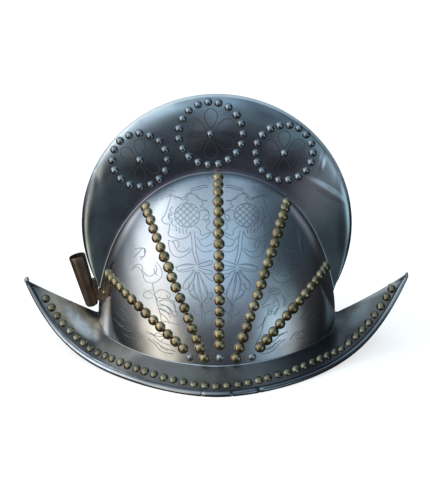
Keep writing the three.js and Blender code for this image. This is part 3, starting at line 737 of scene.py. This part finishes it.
def skullSeats(count, lowX, low, highX, high):
    shares = [step / stud["pathSteps"] for step in range(stud["pathSteps"] + 1)]
    return evenly([onShell(lerp(lowX, highX, share), lerp(low, high, share)) for share in shares], count)


def brimSeats(sign):
    rear, front = math.pi - math.radians(stud["brimRearTurn"]), math.radians(stud["brimFrontTurn"])
    path = []
    for step in range(stud["brimPathSteps"] + 1):
        turn = sign * lerp(rear, front, step / stud["brimPathSteps"])
        tipInset = stud["frontInset"] if math.cos(turn) > 0 else stud["rearInset"]
        aside = abs(math.sin(turn)) / stud["insetUntil"]
        spot = brimEdge(turn) - brimFrame(turn)[0] * lerp(tipInset, stud["brimInset"], smoothStep(aside))
        above = Vector((spot.x, spot.y, stud["brimFar"])) * mm
        place, normal = brimTree.ray_cast(above, Vector((0, 0, -1)))[:2]
        path.append((place, normal if normal.z > 0 else -normal))
    return evenly(path, stud["brimCount"])


def seated(seats, sink, sign):
    matrices = []
    for place, normal in seats:
        normal = outwardOf(place, normal)
        if sign < 0:
            place, normal = mirrored(place), mirrored(normal)
        matrices.append(seatMatrix(place, normal, sink))
    return matrices


studMesh = spunMesh("stud head", headProfile(stud["radius"], stud["height"]), stud["sides"])
brimStudMesh = spunMesh("brim stud head", headProfile(stud["brimRadius"], stud["brimHeight"]), stud["sides"])
rivetMesh = spunMesh("rivet head", headProfile(rivet["radius"], rivet["height"]), stud["sides"])
for sideName, sign in (("right", 1), ("left", -1)):
    for row, *run in stud["rows"]:
        heads = joinedCopies(studMesh, seated(skullSeats(*run), stud["sink"], sign))
        solid = f"stud_row_{sideName}_{row}"
        addPiece(f"brassRow_{sideName}_{row}", heads, brass, (solid,))
    seats = [seatMatrix(place, normal, stud["sink"]) for place, normal in brimSeats(-sign)]
    heads = joinedCopies(brimStudMesh, seats)
    solid = f"brim_studs_{sideName}"
    addPiece(f"brassEdge_{sideName}", heads, edgeBrassShade, (solid,), inMirrors=False)
    for number, x, z in rivet["places"]:
        heads = joinedCopies(rivetMesh, seated([onComb(x, z)], rivet["sink"], sign))
        solid = f"base_rivet_{sideName}_{number}"
        addPiece(f"footRivet_{sideName}_{number}", heads, rivetSteel, (solid,))
print("studs and rivets ready")


# rosettes on the comb

rosette = {  # places: along, height, reach, count
    "radius": 3.7, "height": 3.4, "sides": 12, "sink": 0.2,
    "places": ((-5.2, 200.8, 28.1, 19), (-67.5, 177.0, 24.2, 16), (58.9, 183.6, 25.1, 18)),
    "petals": 6, "petalOuter": 0.8, "petalHalf": 0.24,
    "petalShape": ((0.2, 0), (0.55, -1), (0.85, -0.75), (1, 0), (0.85, 0.75), (0.55, 1), (0.2, 0)),
}
rosetteMesh = spunMesh("rosette stud", headProfile(rosette["radius"], rosette["height"]), rosette["sides"])
matrices = []
for centreX, centreZ, reach, count in rosette["places"]:
    spots = [(centreX, centreZ)]
    for index in range(count):
        angle = 2 * math.pi * index / count
        spots.append((centreX + reach * math.cos(angle), centreZ + reach * math.sin(angle)))
    for x, z in spots:
        place, normal = onComb(x, z)
        normal = outwardOf(place, normal)
        matrices.append(seatMatrix(place, normal, rosette["sink"]))
        matrices.append(seatMatrix(mirrored(place), mirrored(normal), rosette["sink"]))
heads = joinedCopies(rosetteMesh, matrices)
addPiece("combRosettes", heads, rosetteSteel, inMirrors=False)
print("rosettes ready")


# engraving

engraving = {
    "halfWidth": 0.4, "lift": 0.03, "flat": 0.2, "bevel": 1, "curveSteps": 5, "headRadius": 11.0,
    "headX": 25.6, "headLevel": 123.5, "headSides": 16, "hatch": 4.0, "mirrorReach": 1e-9,
}
# strokes as places along and level, the first two sets on both sides of the middle row
thistle = (
    ((41.6, 144.5), (40, 141.6), (33.6, 139.9), (28.2, 137.7), (26.1, 141.1)),
    ((26.1, 141.1), (22.9, 143.3), (18.6, 142.2), (13.3, 137.7), (7.9, 137.1)),
    ((26.1, 140.5), (24.8, 138), (27.2, 135.1)),
    ((40, 141.6), (41.6, 134.8), (45.3, 123.5), (47.5, 120.2), (45.3, 116.2), (40.5, 115.6)),
    ((40.5, 115.6), (41.1, 110), (41.6, 105.5), (36.8, 103.2), (31.5, 101.8), (25, 104.3), (22.7, 108.8)),
    ((38.4, 131.5), (40.5, 128.1), (38.7, 125.2), (40.9, 122.2), (38.1, 119.5), (39.1, 116.1), (35.7, 113.4)),
    ((35.2, 113.9), (34.7, 108.8)),
    ((32.5, 112.2), (31.7, 107.2)),
    ((29.3, 111.3), (28.8, 106.8)),
    ((26.1, 111.1), (26.1, 107.2)),
    ((14.4, 131.5), (10.1, 129.2), (6.9, 125.8), (11.2, 121.3), (6.3, 117.9), (9, 112.2), (5.8, 108.8)),
    ((18.6, 113.4), (14.4, 110), (13.3, 105.5), (9, 106.6), (4.2, 108.8)),
    ((13.3, 137.7), (12, 133.9), (14.4, 131.5)),
    ((22.7, 108.8), (21.6, 100.9), (20.8, 91.9), (18.6, 82.9), (17, 78.3)),
    ((19.7, 109.4), (18.6, 100.9), (17.6, 90.8), (15.2, 79.5)),
    ((41.6, 100.9), (41.1, 95.3), (38.9, 89.1), (34.7, 85.7), (29.3, 85.7), (24.5, 89.1), (21.3, 93)),
    ((41.6, 100.9), (37.3, 98.7), (35.2, 94.2), (32.5, 90.8), (27.2, 90.8), (22.9, 94.2)),
    ((37.9, 99.6), (35.2, 100.9), (32.3, 97.5), (33.4, 93.9)),
    ((18.6, 104.3), (15.4, 100.9), (13.3, 96.4), (9, 95.3), (4.2, 97.5)),
    ((17.6, 96.4), (14.4, 91.9), (9, 90.2), (3.7, 91.9)),
    ((14.4, 100.9), (9, 103.2), (5.8, 106.6), (3.9, 107.9)),
    ((18.6, 78.3), (24, 79.5), (30.4, 78.3), (34.7, 74.9), (32.5, 72.7), (25, 72.7), (19.7, 74.4)),
    ((19.7, 73.8), (22.9, 69.3), (27.2, 63.6), (28.2, 56.9), (25, 57.4), (20.8, 64.8), (17.6, 72.7)),
    ((16.5, 78.3), (11.2, 80.6), (3.7, 81.2), (9, 77.7), (16, 77)),
    ((16, 76.1), (10.1, 74.3), (3.7, 71.3), (9, 70.6), (16, 74.4)),
    ((17, 72.7), (19.7, 64.8), (20.2, 56.9), (17, 50.1), (14.4, 45.6)),
    ((16, 72.7), (12.2, 64.8), (9, 58), (7.9, 51.2), (11.2, 44.4)),
    ((16.5, 71.6), (14.9, 61.4), (13.3, 50.1), (12.8, 43.3)),
    ((20.2, 56.9), (22.9, 54.6), (21.3, 50.1), (16.5, 46.7)),
    ((7.9, 51.2), (4.2, 53.5), (5.3, 47.8), (10.1, 43.3)),
    ((12.8, 43.3), (11.2, 35.4), (10.1, 28.6), (10.7, 21.8)),
    ((14.4, 43.3), (12.8, 34.3), (12, 23)),
    ((10.9, 33.1), (7.9, 36.5), (3.9, 37.6)),
    ((12, 29.7), (15.4, 33.1), (18.6, 34.3), (19.7, 37.6)),
    ((35.7, 76.3), (28.2, 78.3), (19.9, 78.9)),
    ((32.3, 73.7), (26, 74.5), (19.4, 76.5)),
    ((28.4, 62.6), (22.5, 68), (18.4, 74.5)),
    ((23.5, 62.8), (24.2, 56.1), (20.8, 51), (15.9, 47.1), (12.5, 40.6)),
    ((18.6, 71.9), (19.9, 62.8), (18.6, 54.8)),
    ((16.7, 71.9), (16.2, 61.5), (14.7, 53.5)),
    ((15, 71.9), (12.3, 62.8), (9.8, 56.1), (7.6, 51)),
    ((13.1, 73.2), (7.6, 66.7), (3.7, 63.4)),
    ((12.5, 40.6), (11.1, 46), (6.4, 48.6), (3.7, 45.8)),
    ((22.9, 148), (17.5, 149.4), (12.6, 151.1), (7.2, 151.3)),
    ((22.9, 146.1), (17.5, 147.2), (12, 149), (7.4, 149.4)),
    ((43.9, 140.4), (39.2, 142.5), (33.8, 140.4), (28.7, 139.8), (26, 143.1), (21.7, 145.1)),
    ((18.6, 140.8), (15, 138.3), (8.8, 136.2)),
    ((14.4, 127.7), (10.5, 128.1), (7.4, 126.4), (6.6, 122.7), (8.1, 118.6)),
    ((13.6, 119.4), (10.5, 118.6), (8.1, 116.1)),
    ((40.8, 126), (41.9, 122.7), (40.8, 119.4), (38.4, 116.1)),
)
sprig = (
    ((64, 71.6), (61.9, 64.2), (56, 61.9), (49.6, 64.8), (46.9, 70.4), (49.1, 77.2), (52.3, 81.2)),
    ((63, 71.6), (59.2, 68.2), (55, 69.3), (51.8, 73.8), (52.8, 78.3)),
    ((72.1, 85.1), (67.8, 89.6), (63, 93.6), (62.4, 87.4), (66.7, 82.9)),
    ((73.1, 74.9), (69.9, 78.3), (65.6, 78.3), (64, 71.6)),
    ((61.4, 17.3), (55, 13.9), (48.5, 8.3), (40, 4.9)),
    ((55, 13.9), (50.7, 16.2), (46.4, 13.9)),
    ((48.5, 8.3), (44.3, 11.7), (40, 9.4)),
    ((50.7, 7.1), (47.5, 2.6), (42.1, 0.4)),
    ((59.2, 10.5), (53.9, 6), (47.5, -0.8), (37.9, -3)),
    ((71.7, 92.5), (67.5, 93.6), (63, 93.1), (62.6, 89.7), (62.8, 86.3), (66.9, 85.8)),
    ((74.4, 73.4), (70.5, 76.5), (66, 73.9), (63.6, 70.3)),
    ((54.3, 75.5), (53.3, 71.6), (50.9, 68.8)),
    ((85.8, 38.3), (80.9, 33.8), (76.3, 27.7)),
    ((82.1, 40.9), (77, 35.2), (72.1, 27.7)),
    ((88.2, 34.4), (84.6, 29.3), (79.2, 25.1)),
    ((90.7, 28), (86.3, 23.3), (80.7, 20.2)),
    ((87, 22.8), (80.7, 18.7), (74.6, 16.3)),
    ((79.7, 21.5), (73.8, 17.6), (68.4, 12.2)),
    ((71.1, 17.4), (67, 14.3), (63.6, 9.6)),
    ((82.1, 13.8), (75.8, 10.9), (69.4, 9.9)),
    ((57.7, 16.3), (52.3, 13.5), (46.7, 13)),
    ((55.3, 9.9), (46.7, 3.4), (35.7, -0.7)),
)
frond = (  # rear panel only
    ((55.5, 61.9), (54.4, 55.7), (52.8, 48.9), (50.7, 41), (48.5, 33.1)),
    ((53.9, 52.3), (48.5, 55.7), (43.2, 54.6), (40, 50.1), (44.3, 47.8), (50.7, 48.9)),
    ((50.7, 44.4), (45.3, 46.7), (38.9, 44.4), (35.7, 38.8), (34.7, 32), (40, 34.3), (45.3, 36.5),
        (49.6, 38.8)),
    ((50.1, 41.6), (43.2, 41), (37.3, 35.4)),
    ((54.4, 55.7), (59.2, 54.6), (63.5, 51.2), (60.3, 47.8), (55, 48.9)),
    ((48.5, 33.1), (47.5, 26.3), (45.3, 18.4)),
    ((62, 55.1), (57.5, 53.2), (52.8, 49.7), (50.6, 45.5)),
    ((49.2, 43.2), (43.1, 40.6), (38.2, 34.4)),
    ((49.4, 39.3), (44, 36.7), (39.4, 30.3)),
    ((48.5, 34.4), (43.5, 30.3), (40.4, 25.1)),
    ((37.4, 46), (35.7, 40.9), (35.5, 35.7)),
    ((46.7, 27.3), (39.1, 25.8), (32.1, 23.8)),
    ((43.1, 51.2), (40.6, 47.3), (35.7, 44.8)),
)
leaf = (  # front panel only
    ((44.4, 55.5), (48.5, 57.3), (52.7, 56.4), (54.4, 53.7), (51.9, 51.4), (47.2, 51.9), (44.6, 53.7)),
    ((45.7, 51.2), (42.7, 46.5), (39.7, 39.9), (44.4, 42.2), (43.8, 37.4), (45.5, 32.9), (47.8, 36.5),
        (49.7, 32.9), (51.5, 36.5), (53.4, 40.8), (52.1, 46.5), (48.7, 49.6)),
    ((51.9, 46.5), (47.8, 41.3), (44.6, 35.4), (41.4, 29.1), (38.6, 18.4)),
    ((41.4, 30.6), (38.2, 24.1), (33.7, 20.5)),
    ((39.5, 24.1), (38.2, 17.1), (33.3, 6)),
    ((50, 46.9), (46.8, 43.1), (44.2, 41)),
    ((51.2, 41.9), (48.2, 39), (46.1, 35.4)),
    ((52.5, 39.5), (50.6, 36.5), (49.7, 34)),
    ((44.6, 53.7), (48.7, 54.8), (52.3, 54.6)),
    ((56.2, 51.2), (57.9, 45.6), (57, 39.9)),
    ((58.3, 49), (59.8, 44.4), (58.9, 41)),
)


def hatching():
    lines = []
    radius = engraving["headRadius"]
    head = Vector((engraving["headX"], engraving["headLevel"]))
    for slope in (1, -1):
        across = Vector((1, slope)).normalized()
        along = Vector((-slope, 1)).normalized()
        count = int(radius / engraving["hatch"])
        for index in range(-count, count + 1):
            offset = index * engraving["hatch"]
            reach = math.sqrt(radius ** 2 - offset ** 2)
            middle = head + across * offset
            lines.append((tuple(middle - along * reach), tuple(middle + along * reach)))
    ring = []
    for step in range(engraving["headSides"] + 1):
        angle = 2 * math.pi * step / engraving["headSides"]
        ring.append(tuple(head + Vector((math.cos(angle), math.sin(angle))) * radius))
    return lines + [tuple(ring)]


def petals():
    lines = []
    for centreX, centreZ, reach, count in rosette["places"]:
        outer = reach * rosette["petalOuter"]
        for index in range(rosette["petals"]):
            middle = 2 * math.pi * (index + 0.5) / rosette["petals"]
            spread = rosette["petalHalf"] * math.pi / 2
            outline = []
            for out, turn in rosette["petalShape"]:
                angle, far = middle + turn * spread, outer * out
                outline.append((centreX + far * math.cos(angle), centreZ + far * math.sin(angle)))
            lines.append(tuple(outline))
    return lines


def strokeMesh(lines):
    curve = bpy.data.curves.new("strokes", "CURVE")
    curve.dimensions = "3D"
    curve.bevel_depth = engraving["halfWidth"] * mm
    curve.bevel_resolution = engraving["bevel"]
    curve.resolution_u = engraving["curveSteps"]
    for line in lines:
        spline = curve.splines.new("BEZIER")
        spline.bezier_points.add(len(line) - 1)
        for point, (x, z) in zip(spline.bezier_points, line):
            point.co = Vector((x, 0, z)) * mm
            point.handle_left_type = point.handle_right_type = "AUTO"
    holder = placed("strokes", curve)
    mesh = bpy.data.meshes.new_from_object(holder.evaluated_get(bpy.context.evaluated_depsgraph_get()))
    bpy.data.objects.remove(holder)
    bpy.data.curves.remove(curve)
    return mesh


def laidOn(mesh, landing):
    shape = bmesh.new()
    shape.from_mesh(mesh)
    for vert in shape.verts:
        raised = -vert.co.y * engraving["flat"] + engraving["lift"] * mm
        place, normal = landing(vert.co.x / mm, vert.co.z / mm)
        vert.co = place + outwardOf(place, normal) * raised
    mirrorOver(shape, engraving["mirrorReach"])
    return shape


skullLines = list(thistle) + list(sprig) + hatching()
rearLines = [tuple((-x, level) for x, level in line) for line in skullLines + list(frond)]
skullLines += rearLines + list(leaf)
addPiece("skullEngraving", laidOn(strokeMesh(skullLines), onShell), lineSteel)
addPiece("combEngraving", laidOn(strokeMesh(petals()), onComb), petalSteel)
print("engraving ready")


# plume holder

plume = {
    "bottom": (-113.0, 0, 37.9), "top": (-126.1, 0, 86.4), "topRadius": 7.6, "bottomRadius": 5.8, "wall": 1.0,
    "floor": 3.0, "sides": 32, "sharpAngle": 40,
    "foot": ((0, 0), (0.5, 0.25), (0.82, 1.1), (0.97, 2.6), (1.02, 4.6)),  # share of the radius, height
    "cone": (0.3, 0.6, 0.9, 0.985), "lip": 0.35, "lipFall": 0.15, "lipDepth": 2, "floorRise": 4,
    "floorSlack": 0.3, "floorShare": 0.6, "gap": 0.3,
    "plateHalfSpan": 24, "plateLowRise": 15.5, "plateHighRise": 25.5, "plateLowClimb": 23.4,
    "plateHighClimb": 24.6, "plateThickness": 1.5, "plateRows": 40, "plateColumns": 6,
    "rivetSpan": 18.5, "rivetRadius": 2.8, "rivetHeight": 2.0, "rivetSink": 0.1,
    "webLowRise": 17, "webTop": 64, "webHalf": 3.2, "webReach": 2.5,
}


def backOfSkull(turn, rise, offset):
    level = math.sqrt(1 - (rise / skull["rise"]) ** 2)
    x = -skull["halfLength"] * level * math.cos(turn)
    y = skull["halfWidth"] * level * math.sin(turn)
    slopes = (x / skull["halfLength"] ** 2, y / skull["halfWidth"] ** 2, rise / skull["rise"] ** 2)
    normal = Vector(slopes).normalized()
    return Vector((x, y, rise + footHeight(x))) + normal * offset, normal


def onPlate(turn, share):
    away = abs(turn) / math.radians(plume["plateHalfSpan"])
    low = plume["plateLowRise"] + plume["plateLowClimb"] * away
    high = plume["plateHighRise"] + plume["plateHighClimb"] * away
    return backOfSkull(turn, lerp(low, high, share), plume["gap"] + plume["plateThickness"])


def platePlace(row, column):
    turn = math.radians(plume["plateHalfSpan"]) * (2 * row / plume["plateRows"] - 1)
    return onPlate(turn, column / plume["plateColumns"])[0]


def tubeProfile(length):
    low, high, wall, floor = plume["bottomRadius"], plume["topRadius"], plume["wall"], plume["floor"]
    fall, bore = plume["lipFall"], high - wall
    points = [(low * share, height) for share, height in plume["foot"]]
    points += [(lerp(low, high, share), length * share) for share in plume["cone"]]
    points += [(high - plume["lip"], length), (bore, length - fall)]
    points += [(bore - fall, length - plume["lipDepth"])]
    points += [(low - wall + plume["floorSlack"], floor + plume["floorRise"])]
    return points + [(low * plume["floorShare"], floor), (0, floor)]


plate = bmesh.new()
mappedGrid(plate, plume["plateRows"], plume["plateColumns"], platePlace)
turnOut(plate)
plate.faces.ensure_lookup_table()
if plate.faces[0].normal.x > 0:
    bmesh.ops.reverse_faces(plate, faces=plate.faces[:])
bmesh.ops.solidify(plate, geom=plate.faces[:], thickness=plume["plateThickness"] * mm)
addPiece("plumePlate", plate, plateBronze, (), plume["sharpAngle"])
bottom, top = Vector(plume["bottom"]), Vector(plume["top"])
tubeMesh = spunMesh("plume tube", tubeProfile((top - bottom).length), plume["sides"])
standing = (top - bottom).normalized().to_track_quat("Z", "Y").to_matrix().to_4x4()
tube = joinedCopies(tubeMesh, [Matrix.Translation(bottom * mm) @ standing])
webLow = backOfSkull(0, plume["webLowRise"], plume["gap"] + plume["plateThickness"] / 2)[0]
webDrop = plume["webTop"] - comb["centreHeight"]
webHighX = -math.sqrt(comb["radius"] ** 2 - webDrop ** 2) + plume["webReach"]
for vert in bmesh.ops.create_cube(tube, size=2)["verts"]:
    lowX, lowZ, highX = webLow.x, webLow.z, webHighX
    if vert.co.x < 0:
        lowX -= plume["bottomRadius"] / 2
        highX -= plume["bottomRadius"]
    x, z = (lowX, lowZ) if vert.co.z < 0 else (highX, plume["webTop"])
    vert.co = Vector((x, vert.co.y * plume["webHalf"], z)) * mm
addPiece("plumeTube", tube, bronze, ("plume_holder",), plume["sharpAngle"])

plumeRivet = headProfile(plume["rivetRadius"], plume["rivetHeight"])
plumeRivetMesh = spunMesh("plume rivet head", plumeRivet, stud["sides"])
for sideName, sign in (("right", -1), ("left", 1)):
    place, normal = onPlate(sign * math.radians(plume["rivetSpan"]), 0.5)
    head = joinedCopies(plumeRivetMesh, [seatMatrix(place * mm, normal, plume["rivetSink"])])
    addPiece(f"plateRivet_{sideName}", head, brass, (f"plume_rivet_{sideName}",))
print("plume holder ready")


# stage

ground = {
    "half": 6, "light": (0.52, 0.52, 0.52, 1), "dark": (0.48, 0.48, 0.48, 1), "noise": (3, 3),
    "roughness": 0.9, "glow": 0.7, "glowColour": (1, 1, 1, 1),
}
floorShape = bmesh.new()
bmesh.ops.create_grid(floorShape, x_segments=1, y_segments=1, size=ground["half"])
floorMesh = meshOf("floor", floorShape)
floorMaterial = bpy.data.materials.new("pale floor")
floorMaterial.use_nodes = True
floorTree = floorMaterial.node_tree
floorShader = floorTree.nodes["Principled BSDF"]
floorPlace = addNode(floorTree, "ShaderNodeTexCoord", {}).outputs["Object"]
floorNoise = noiseOf(floorTree, floorPlace, *ground["noise"])
floorTone = mixOf(floorTree, floorNoise, ground["light"], ground["dark"])
floorTree.links.new(floorTone, floorShader.inputs["Base Color"])
floorShader.inputs["Roughness"].default_value = ground["roughness"]
floorShader.inputs["Emission Color"].default_value = ground["glowColour"]
floorShader.inputs["Emission Strength"].default_value = ground["glow"]
floorMesh.materials.append(floorMaterial)
floor = placed("floor", floorMesh, False)

studio = {
    "heights": (  # from straight down to straight up
        (-1.0, (0.05, 0.055, 0.065)), (-0.3, (0.09, 0.098, 0.108)), (-0.1, (0.12, 0.128, 0.138)),
        (0.1, (0.13, 0.17, 0.21)), (0.35, (0.18, 0.27, 0.35)), (0.7, (0.29, 0.43, 0.55)),
        (1.0, (0.38, 0.53, 0.66)),
    ),
    "sides": (  # from the rear end to the front end
        (-1.0, 0.6), (-0.84, 0.62), (-0.6, 1.0), (0.3, 1.0), (0.43, 0.8), (0.5, 0.48), (0.61, 0.44),
        (0.7, 0.33), (0.78, 0.27), (1.0, 0.22),
    ),
    "ground": ((-1.0, 0.5), (-0.25, 0.5), (-0.05, 0.6), (0.03, 0.78), (0.16, 1.0), (1.0, 1.0)),
    "glows": (  # turn from the camera to the right, height, tightness, colour
        (-64, 20, 12, (1.68, 1.68, 1.64)), (-95, 36, 16, (0.85, 0.88, 0.90)),
        (6, 22, 9, (0.31, 0.44, 0.56)), (-116, 46, 26, (0.38, 0.38, 0.37)),
        (-25, 14, 16, (0.36, 0.38, 0.40)), (-50, 62, 5, (0.13, 0.14, 0.14)),
        (-137, 11, 70, (0.75, 0.73, 0.73)), (137, 11, 70, (0.22, 0.24, 0.27)),
        (-42, 56, 11, (0.15, 0.15, 0.14)), (-32, 33, 16, (0.22, 0.22, 0.22)),
        (-112, 29, 30, (0.28, 0.28, 0.28)),
    ),
    "lowGlows": (
        (-46, -13, 26, (1.85, 1.70, 1.38)), (47, -10, 26, (0.67, 0.92, 1.07)),
        (61, -15, 60, (0.32, 0.30, 0.26)), (84, -8, 18, (0.03, 0.028, 0.03)),
    ),
}
lights = (  # name, place, size, power, colour
    ("left window", (-1.5, -0.4, 1.2), (1.2, 1.0), 10, (1.0, 0.97, 0.92)),
    ("front sky", (0.3, -1.6, 1.8), (1.6, 1.2), 14, (0.92, 0.96, 1.0)),
)
lampAim = (0, 0, 0.1)


def rampOf(tree, value, stops):
    node = addNode(tree, "ShaderNodeValToRGB", {"Fac": rangeOf(tree, value, -1, 1, 0, 1)})
    marks = node.color_ramp.elements
    while len(marks) < len(stops):
        marks.new(0.5)
    for mark, (spot, tone) in zip(marks, stops):
        mark.position = (spot + 1) / 2
        mark.color = (*tone, 1) if isinstance(tone, tuple) else (tone, tone, tone, 1)
    return node.outputs["Color"]


def glowOf(tree, facing, turn, height, tightness, tone):
    turn, height = math.radians(turn), math.radians(height)
    middle = (math.sin(turn) * math.cos(height), -math.cos(turn) * math.cos(height), math.sin(height))
    near = vectorOf(tree, "DOT_PRODUCT", facing, middle)
    share = mathOf(tree, "EXPONENT", mathOf(tree, "MULTIPLY_ADD", near, tightness, -tightness))
    return addNode(tree, "ShaderNodeVectorMath", {0: tone, "Scale": share}, operation="SCALE").outputs[0]


world = bpy.data.worlds.new("studio")
bpy.context.scene.world = world
world.use_nodes = True
worldTree = world.node_tree
facing = addNode(worldTree, "ShaderNodeTexCoord", {}).outputs["Generated"]
parts = addNode(worldTree, "ShaderNodeSeparateXYZ", {"Vector": facing}).outputs
heights = rampOf(worldTree, parts["Z"], studio["heights"])
sides = rampOf(worldTree, parts["X"], studio["sides"])
total = vectorOf(worldTree, "MULTIPLY", heights, sides)
for glow in studio["glows"]:
    total = vectorOf(worldTree, "ADD", total, glowOf(worldTree, facing, *glow))
total = vectorOf(worldTree, "MULTIPLY", total, rampOf(worldTree, parts["Z"], studio["ground"]))
for glow in studio["lowGlows"]:
    total = vectorOf(worldTree, "ADD", total, glowOf(worldTree, facing, *glow))
worldTree.links.new(total, worldTree.nodes["Background"].inputs["Color"])

for name, place, size, power, tone in lights:
    lamp = bpy.data.lights.new(name, "AREA")
    lamp.shape = "RECTANGLE"
    lamp.size, lamp.size_y = size
    lamp.energy = power
    lamp.color = tone
    lampPiece = placed(name, lamp, False)
    lampPiece.location = place
    lampPiece.rotation_euler = (Vector(lampAim) - Vector(place)).to_track_quat("-Z", "Y").to_euler()

view = {"target": (-0.0016, 0, 0.09597), "distance": 1.3, "elevation": 19, "lens": 106.02, "sensor": 36}
cameraData = bpy.data.cameras.new("camera")
cameraData.sensor_fit = "VERTICAL"
cameraData.sensor_height = view["sensor"]
cameraData.lens = view["lens"]
cameraData.dof.use_dof = False
camera = placed("camera", cameraData)
rise = math.radians(view["elevation"])
camera.location = Vector(view["target"]) + Vector((0, -math.cos(rise), math.sin(rise))) * view["distance"]
camera.rotation_euler = (math.pi / 2 - rise, 0, 0)
bpy.context.scene.camera = camera
bpy.context.scene.view_settings.view_transform = "Standard"
print("stage ready")
